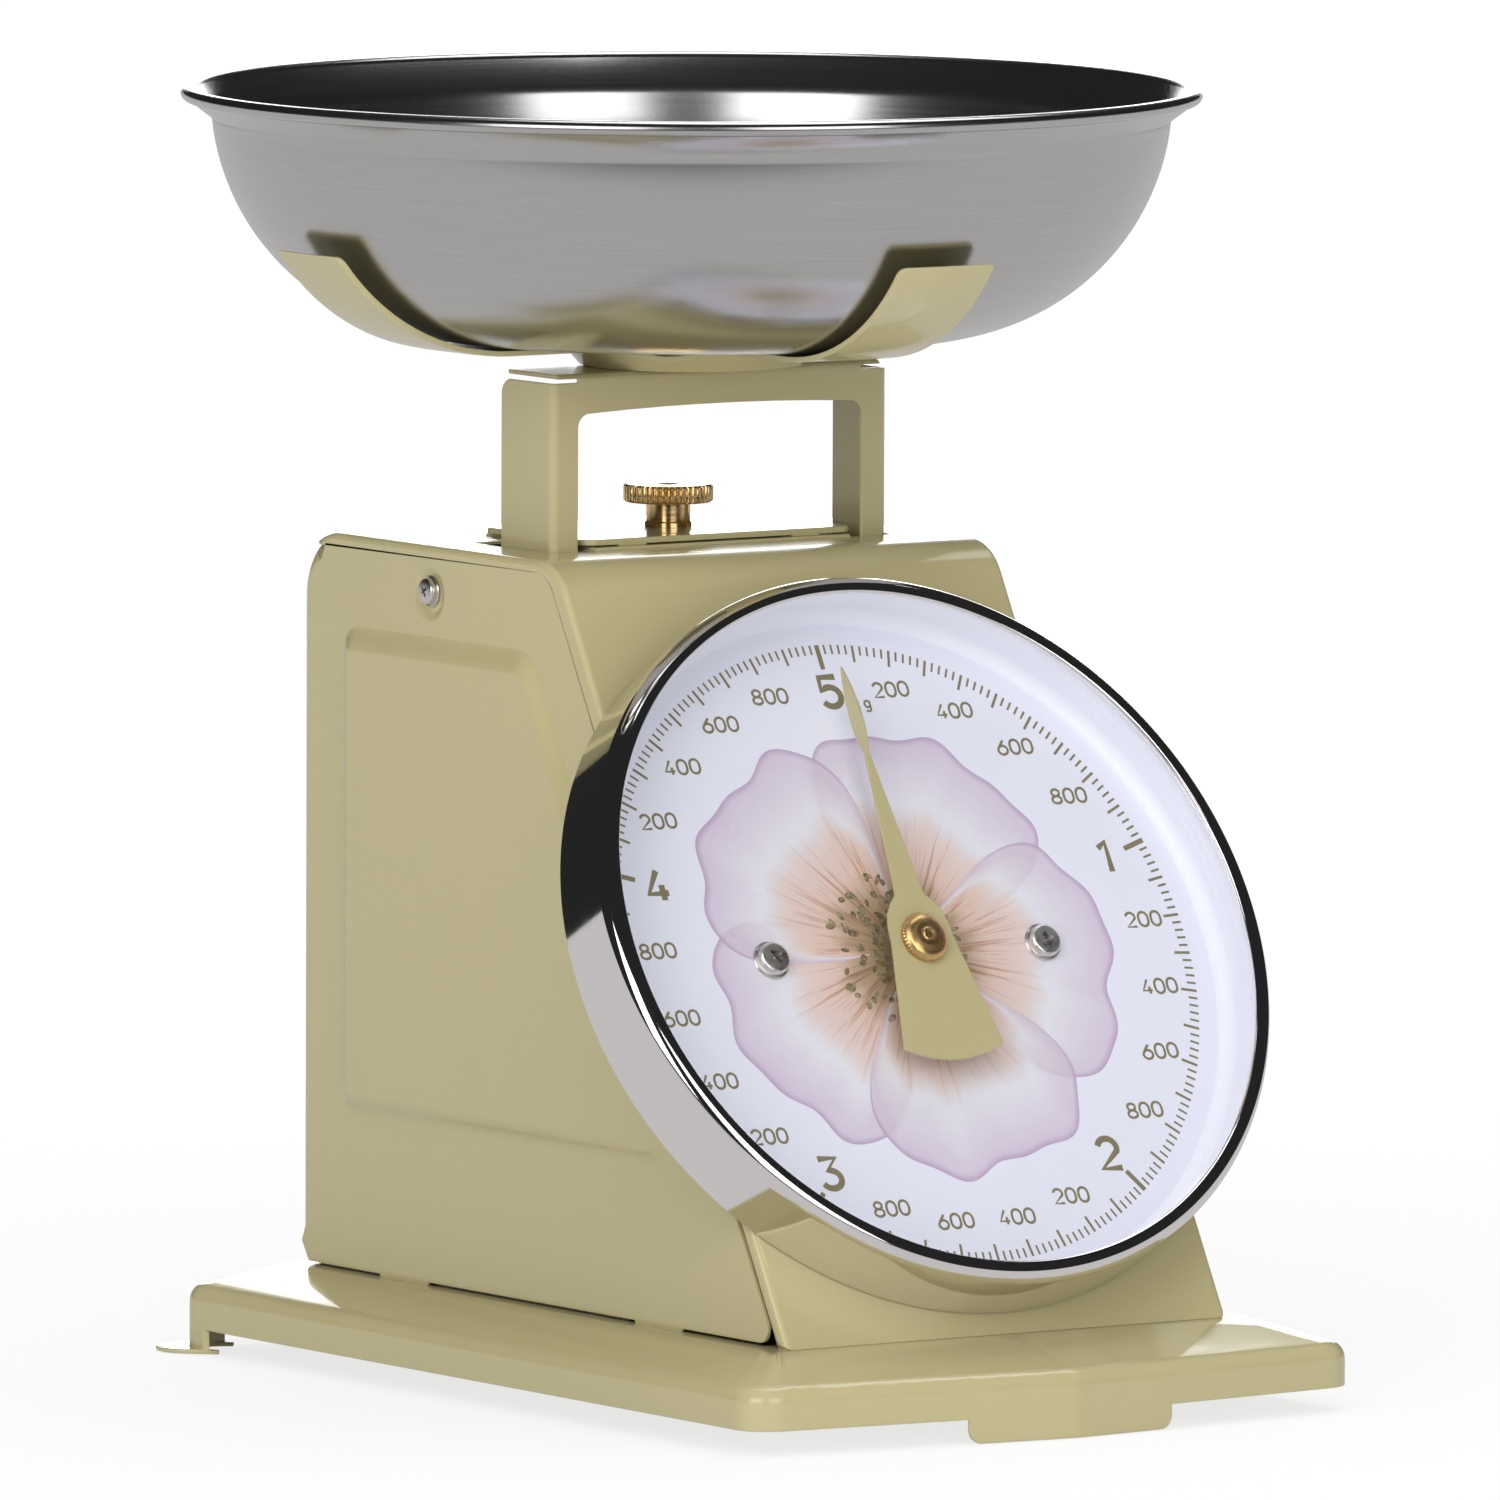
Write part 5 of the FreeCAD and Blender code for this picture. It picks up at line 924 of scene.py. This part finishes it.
def make_pointer():
    """The enamelled pointer: fan tail, shouldered hub, tapering arm and an upright blade at its tip."""
    low, high, _ = dial_span("pointer")
    right = [(0.55, POINTER_WAIST), (3.3, 12.0), (3.7, 10.4), (5.4, 8.6), (7.0, 6.2), (7.75, 3.0),
             (7.95, 0.0), (12.6, -24.4)]
    tail = arc(0, 0, POINTER_TAIL, -62.7, -117.3, 14)
    outline = right + tail + [(-x, y) for x, y in reversed(right)]
    body = soften(plate(outline, low, high, DIAL), 0.15, 50)
    blade = plate(blade_outline(), -0.3, 0.3, DIAL @ blade_place((low + high) / 2))
    soften(blade, 0.12, 30)
    return finished(joined(body, blade), "enamel_pointer", FINISH["enamel"], "pointer",
                    ["pointer"])


def blade_outline():
    """The pointer's blade seen from its side: a slim leaf from the waist to the tip."""
    length = POINTER_TIP - POINTER_WAIST + 1.5
    belly = 2.2
    shares = [step / 12 for step in range(1, 12)]
    upper = [(length * share, belly * math.sin(math.pi * share ** 0.8) ** 0.85) for share in shares]
    return [(0, 0.3)] + upper + [(length, 0)] + [(x, -y) for x, y in reversed(upper)] + [(0, -0.3)]


def blade_place(level):
    """Stands the blade on edge along the arm, from the waist outwards."""
    turn = Matrix(((0, 0, 1, 0), (1, 0, 0, 0), (0, 1, 0, 0), (0, 0, 0, 1)))
    return Matrix.Translation((0, (POINTER_WAIST - 1.5) * MM, level * MM)) @ turn


def make_cap():
    """The brass cap: knurled rim, domed crown and a small centre ring."""
    low, high, radius = dial_span("pointer_cap")
    crown = high - 0.1
    profile = [(0, low), (radius - 0.3, low), (radius, low + 0.25), (radius, low + 0.7),
               (radius, low + 1.15), (radius - 0.35, low + 1.4)]
    profile += [(radius * 0.93 * math.cos(a), low + 1.4 + (crown - low - 1.4) * math.sin(a))
                for a in (math.radians(8 + 9 * step) for step in range(8))]
    profile += [(1.35, crown + 0.02), (1.25, crown + 0.12), (1.0, crown + 0.12), (0.85, crown - 0.1),
                (0.0, crown - 0.1)]
    bm = knurled(profile, 40, 0.3, low + 0.1, low + 1.2, DIAL)
    return finished(bm, "brass_cap", FINISH["cap_brass"], "pointer", ["pointer_cap"], crease=38)


# ---------------------------------------------------------------- prints on the dial
def place_on_dial(angle, radius, level):
    """A frame on the dial at a clockwise angle from the top, with its Y pointing outwards."""
    turn = Matrix.Rotation(-angle, 4, "Z")
    return DIAL @ turn @ Matrix.Translation((0, radius * MM, level * MM))


def make_scale_ticks(level):
    """250 ticks of 20 g, longer at each 100 g and longest at each kilogram."""
    parts = bmesh.new()
    for step in range(SCALE_STEPS):
        length, width = 2.2, 0.5
        if step % 5 == 0:
            length, width = 3.9, 0.62
        if step % 50 == 0:
            length, width = 5.7, 1.15
        place = place_on_dial(TURN * step / SCALE_STEPS, SCALE_RADIUS - length / 2, level)
        size = Matrix.Diagonal((width * MM, length * MM, PRINT_RISE * 2 * MM, 1))
        bmesh.ops.create_cube(parts, size=1.0, matrix=place @ size)
    return finished(parts, "scale_ticks", FINISH["ink"], "housing")


def bow(x, y, wide, high, start, end, steps=10):
    """Points on an ellipse's arc."""
    angles = [math.radians(start + (end - start) * step / steps) for step in range(steps + 1)]
    return [(x + wide * math.cos(a), y + high * math.sin(a)) for a in angles]


def digit_strokes(sign):
    """The centre lines of a sign's strokes, in a box 0.72 wide and 1 high."""
    w = 0.72
    m = w / 2
    strokes = {
        "0": [bow(m, 0.62, m, 0.38, 0, 180) + bow(m, 0.38, m, 0.38, 180, 360) + [(w, 0.62)]],
        "1": [[(0.12, 0.8), (0.42, 1.0), (0.42, 0.0)]],
        "2": [bow(m, 0.68, m * 0.96, 0.32, 165, -20) + [(0.0, 0.0), (w, 0.0)]],
        "3": [[(0.04, 1.0), (w - 0.04, 1.0), (0.3, 0.6)] + bow(m, 0.3, m, 0.3, 80, -155, 14)],
        "4": [[(w, 0.24), (0.0, 0.24), (0.46, 1.0)], [(0.52, 0.52), (0.52, 0.0)]],
        "5": [[(w - 0.04, 1.0), (0.08, 1.0), (0.05, 0.56)] + bow(m, 0.33, m, 0.33, 115, -150, 14)],
        "6": [[(0.52, 1.0), (0.06, 0.46)] + bow(m, 0.31, m, 0.31, 155, -205, 20)],
        "8": [bow(m, 0.26, m, 0.26, 0, 360, 16), bow(m, 0.76, m * 0.82, 0.24, 0, 360, 16)],
        "k": [[(0.0, 1.0), (0.0, 0.0)], [(0.48, 0.62), (0.0, 0.25)], [(0.16, 0.37), (0.5, 0.0)]],
        "g": [bow(0.26, 0.33, 0.26, 0.3, 0, 360, 16),
              [(0.52, 0.62), (0.52, -0.1)] + bow(0.26, -0.1, 0.26, 0.22, 0, -150)],
    }
    return strokes[sign]


def write_sign(curve, text, height, centre, thickness):
    """Adds a word's strokes to a flat curve, centred on a point of the dial."""
    advance = 0.98
    width = (len(text) - 1) * advance + 0.72
    for index, sign in enumerate(text):
        for stroke in digit_strokes(sign):
            spline = curve.splines.new("POLY")
            spline.points.add(len(stroke) - 1)
            for point, (x, y) in zip(spline.points, stroke):
                across = centre[0] + (x + index * advance - width / 2) * height
                up = centre[1] + (y - 0.5) * height
                point.co = (across * MM, up * MM, 0, 1)
    curve.bevel_depth = thickness / 2 * MM


def printed_curve(name, signs, height, thickness, level):
    """Writes (text, angle, radius) signs upright on the dial with one pen width."""
    curve = bpy.data.curves.new(name, "CURVE")
    curve.dimensions = "3D"
    curve.bevel_resolution = 2
    curve.use_fill_caps = True
    for text, angle, radius in signs:
        write_sign(curve, text, height, (radius * math.sin(angle), radius * math.cos(angle)), thickness)
    item = bpy.data.objects.new(name, curve)
    mesh = bpy.data.meshes.new_from_object(item)
    bpy.data.objects.remove(item)
    bm = bmesh.new()
    bm.from_mesh(mesh)
    flat = Matrix.Diagonal((1, 1, PRINT_RISE / (thickness / 2), 1))
    place = DIAL @ Matrix.Translation((0, 0, level * MM))
    bmesh.ops.transform(bm, matrix=place @ flat, verts=bm.verts)
    return finished(bm, name, FINISH["ink"], "housing", crease=80)


def make_numerals(level):
    """Kilograms in large numerals, and 200 to 800 between them."""
    step = TURN / 25
    small = [(str(200 * (index % 5)), index * step, NUMERAL_RING) for index in range(25) if index % 5]
    large = [(str(index or 5), index * 5 * step, KILO_RING) for index in range(5)]
    printed_curve("gram_numerals", small, NUMERAL_HEIGHT, 0.62, level)
    printed_curve("kilogram_numerals", large, KILO_HEIGHT, 1.5, level)
    printed_curve("kilogram_unit", [("kg", math.radians(7.4), 58.6)], 2.6, 0.5, level)


def petal_reach(share, index):
    """A petal's length at a share of its half width, with a wavy rim."""
    body = PETAL_LENGTH * (1 - abs(share) ** 4.5) ** 0.3
    wave = 1.5 * math.cos(share * 8.5 + index * 1.9) + 0.7 * math.cos(share * 17 + index)
    return body + wave * (1 - abs(share) ** 3)


def make_petals(level):
    """Five broad petals that overlap, each a thin printed film."""
    petals = []
    for index in range(5):
        bm = bmesh.new()
        bm.loops.layers.uv.new("UVMap")
        bmesh.ops.create_grid(bm, x_segments=64, y_segments=10, size=1.0, calc_uvs=True)
        middle = math.radians(25 + 72 * index)
        lift = level + PRINT_RISE * (0.2 + 0.35 * (index % 3))
        for vert in bm.verts:
            share, out = vert.co.x, (vert.co.y + 1) / 2
            radius = PETAL_HEART + (petal_reach(share * 0.995, index) - PETAL_HEART) * out
            angle = middle + share * PETAL_HALF_SPAN * (0.9 + 0.1 * out)
            vert.co = Vector((radius * math.sin(angle) * MM, radius * math.cos(angle) * MM, lift * MM))
        bmesh.ops.transform(bm, matrix=DIAL, verts=bm.verts)
        petals.append(bm)
    whole = joined(*petals)
    return finished(whole, "flower_petals", FINISH["petal"], "housing")


def make_stamens(level):
    """Small printed flecks crowded round the flower's heart."""
    dice = random.Random(7)
    parts = bmesh.new()
    for _ in range(210):
        angle = dice.uniform(0, TURN)
        reach = 19.0 if math.sin(angle) < 0 else 14.5
        radius = 5.5 + (reach - 5.5) * dice.random() ** 1.2
        length, width = dice.uniform(1.6, 3.4), dice.uniform(1.0, 2.0)
        place = place_on_dial(angle, radius, level + PRINT_RISE * 1.3)
        tilt = Matrix.Rotation(dice.uniform(-0.9, 0.9), 4, "Z")
        size = Matrix.Diagonal((width * MM / 2, length * MM / 2, PRINT_RISE * MM, 1))
        bmesh.ops.create_icosphere(parts, subdivisions=1, radius=1.0, matrix=place @ tilt @ size)
    return finished(parts, "flower_stamens", FINISH["stamen"], "housing", crease=80)


# ---------------------------------------------------------------- the hidden works
def paint_inner_nodes():
    """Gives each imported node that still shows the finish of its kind."""
    kinds = {
        "zinc": ["inner_frame", "frame_screws", "spring_bar", "spring_hanger", "upper_lever", "lower_lever",
                 "bearing_bridge", "rack_guide", "drive_arm"],
        "turned": ["lever_axles", "cradle_rivets", "lever_pins", "pointer_shaft", "drive_pin"],
        "spring": ["main_springs", "knob_clip"],
        "brass": ["front_bush", "rear_bush", "pinion", "rack_bar"],
        "rubber": ["stop_pads"],
        "dial": ["dial_plate"],
        "ring": ["dial_pan"],
    }
    for finish, nodes in kinds.items():
        for name in nodes:
            node = frame["nodes"][name]
            node.data.materials.clear()
            node.data.materials.append(FINISH[finish])


# ---------------------------------------------------------------- stage, light and camera
def soft_box(name, azimuth, elevation, distance, width, height, power, target):
    """A rectangular lamp that faces the target."""
    data = bpy.data.lights.new(name, "AREA")
    data.shape = "RECTANGLE"
    data.size, data.size_y = width, height
    data.energy = power
    lamp = bpy.data.objects.new(name, data)
    bpy.context.scene.collection.objects.link(lamp)
    across, up = math.radians(azimuth), math.radians(elevation)
    away = Vector((math.sin(across) * math.cos(up), -math.cos(across) * math.cos(up), math.sin(up)))
    lamp.location = target + away * distance
    lamp.rotation_euler = away.to_track_quat("Z", "Y").to_euler()
    lamp.visible_camera = False
    return lamp


def make_floor():
    """A wide white floor whose reflections are a painted glow, pale around the object and dark towards the
    front.
    """
    bm = bmesh.new()
    bmesh.ops.create_grid(bm, x_segments=2, y_segments=2, size=60.0)
    mesh = bpy.data.meshes.new("floor")
    bm.to_mesh(mesh)
    bm.free()
    made, tree, shader = material("white floor", Base_Color=(0.9, 0.9, 0.9, 1), Roughness=0.9,
                                  Specular_IOR_Level=0.0)
    place = add(tree, "TexCoord").outputs["Object"]
    away = add(tree, "VectorMath", {"operation": "LENGTH"}, _0=place).outputs["Value"]
    fore = add(tree, "VectorMath", {"operation": "DOT_PRODUCT"}, _0=place, _1=TOWARDS_VIEW)
    path = add(tree, "LightPath").outputs
    glow = add(tree, "Emission", Color=(1, 1, 1, 1), Strength=1.02)
    far = ramp(tree, maths(tree, "DIVIDE", away, 2.0), [(0.05, 0.75), (0.3, 1.0)])
    seen = maths(tree, "MULTIPLY", path["Is Camera Ray"], far)
    mixed = add(tree, "MixShader", _0=seen, _1=shader.outputs[0], _2=glow.outputs[0])
    # Painted reflection: glossy rays see the floor as a fixed glow, pale around the object and dark towards
    # the front, in place of its lit image.
    ahead = maths(tree, "DIVIDE", fore.outputs["Value"], 2.0)
    mirrored = ramp(tree, ahead, [(0.25, (0.62, 0.61, 0.61)), (0.5, (0.04, 0.04, 0.04))])
    painted_reflection_glow = add(tree, "Emission", Color=mirrored, Strength=1.0)
    both = add(tree, "MixShader", _0=path["Is Glossy Ray"], _1=mixed.outputs[0], _2=painted_reflection_glow.outputs[0])
    tree.links.new(both.outputs[0], tree.nodes["Material Output"].inputs["Surface"])
    mesh.materials.append(made)
    floor = bpy.data.objects.new("floor", mesh)
    bpy.context.scene.collection.objects.link(floor)
    floor.location.z = -0.0002


def make_world():
    """White to the camera, a soft fill to the surfaces and a dark studio to their reflections."""
    world = bpy.data.worlds.new("studio")
    bpy.context.scene.world = world
    world.use_nodes = True
    tree = world.node_tree
    background = tree.nodes["Background"]
    path = add(tree, "LightPath").outputs
    fill = blend(tree, "MIX", path["Is Glossy Ray"], (0.34, 0.34, 0.35, 1), (0.02, 0.02, 0.02, 1))
    seen = blend(tree, "MIX", path["Is Camera Ray"], fill, (1.0, 1.0, 1.0, 1))
    tree.links.new(seen, background.inputs["Color"])


def make_camera():
    """The view from the front left, a little above the tray."""
    azimuth, elevation = math.radians(VIEW_AZIMUTH), math.radians(VIEW_ELEVATION)
    roll = math.radians(VIEW_ROLL)
    back = Vector((math.sin(azimuth) * math.cos(elevation), -math.cos(azimuth) * math.cos(elevation),
                   math.sin(elevation)))
    level_right = Vector((math.cos(azimuth), math.sin(azimuth), 0))
    level_up = back.cross(level_right)
    right = math.cos(roll) * level_right + math.sin(roll) * level_up
    up = back.cross(right)
    data = bpy.data.cameras.new("camera")
    data.sensor_width = 36.0
    data.lens = VIEW_LENS
    data.clip_start, data.clip_end = 0.5, 80.0
    camera = bpy.data.objects.new("camera", data)
    bpy.context.scene.collection.objects.link(camera)
    place = Matrix((right, up, back)).transposed().to_4x4()
    place.translation = Vector(VIEW_TARGET) + back * VIEW_DISTANCE
    camera.matrix_world = place
    bpy.context.scene.camera = camera


def make_stage():
    """Two front boxes with a soft one over them, a top light, a backdrop, the floor and the camera."""
    target = Vector((0, 0, 0.14))
    view = LAMP_AZIMUTH
    soft_box("left_box", view - 28, 15, 1.7, 1.0, 1.0, 8.5, target)
    soft_box("right_box", view + 28, 15, 1.7, 0.9, 1.0, 6.6, target)
    upper_box = soft_box("upper_box", view - 8, 42, 1.8, 1.6, 1.0, 11, target)
    upper_box.visible_glossy = False
    soft_box("top_box", view + 150, 74, 1.9, 1.4, 1.4, 15, target)
    backdrop = soft_box("backdrop", view + 180, 14, 2.2, 0.95, 1.0, 11, target)
    backdrop.visible_diffuse = False
    make_floor()
    make_world()
    make_camera()
    bpy.context.scene.view_settings.view_transform = "Standard"


# ---------------------------------------------------------------- the whole object
def make_all():
    make_rear_cover()
    make_front_panel()
    make_tray()
    make_adjuster_plate()
    make_bracket()
    make_cradle()
    make_bowl()
    make_screws()
    make_knob()
    make_bezel()
    make_lens()
    make_lens_ring()
    make_pointer()
    make_cap()
    print_level = dial_span("dial_plate")[1]
    make_scale_ticks(print_level)
    make_numerals(print_level)
    make_petals(print_level)
    make_stamens(print_level)
    paint_inner_nodes()
    make_stage()


make_all()
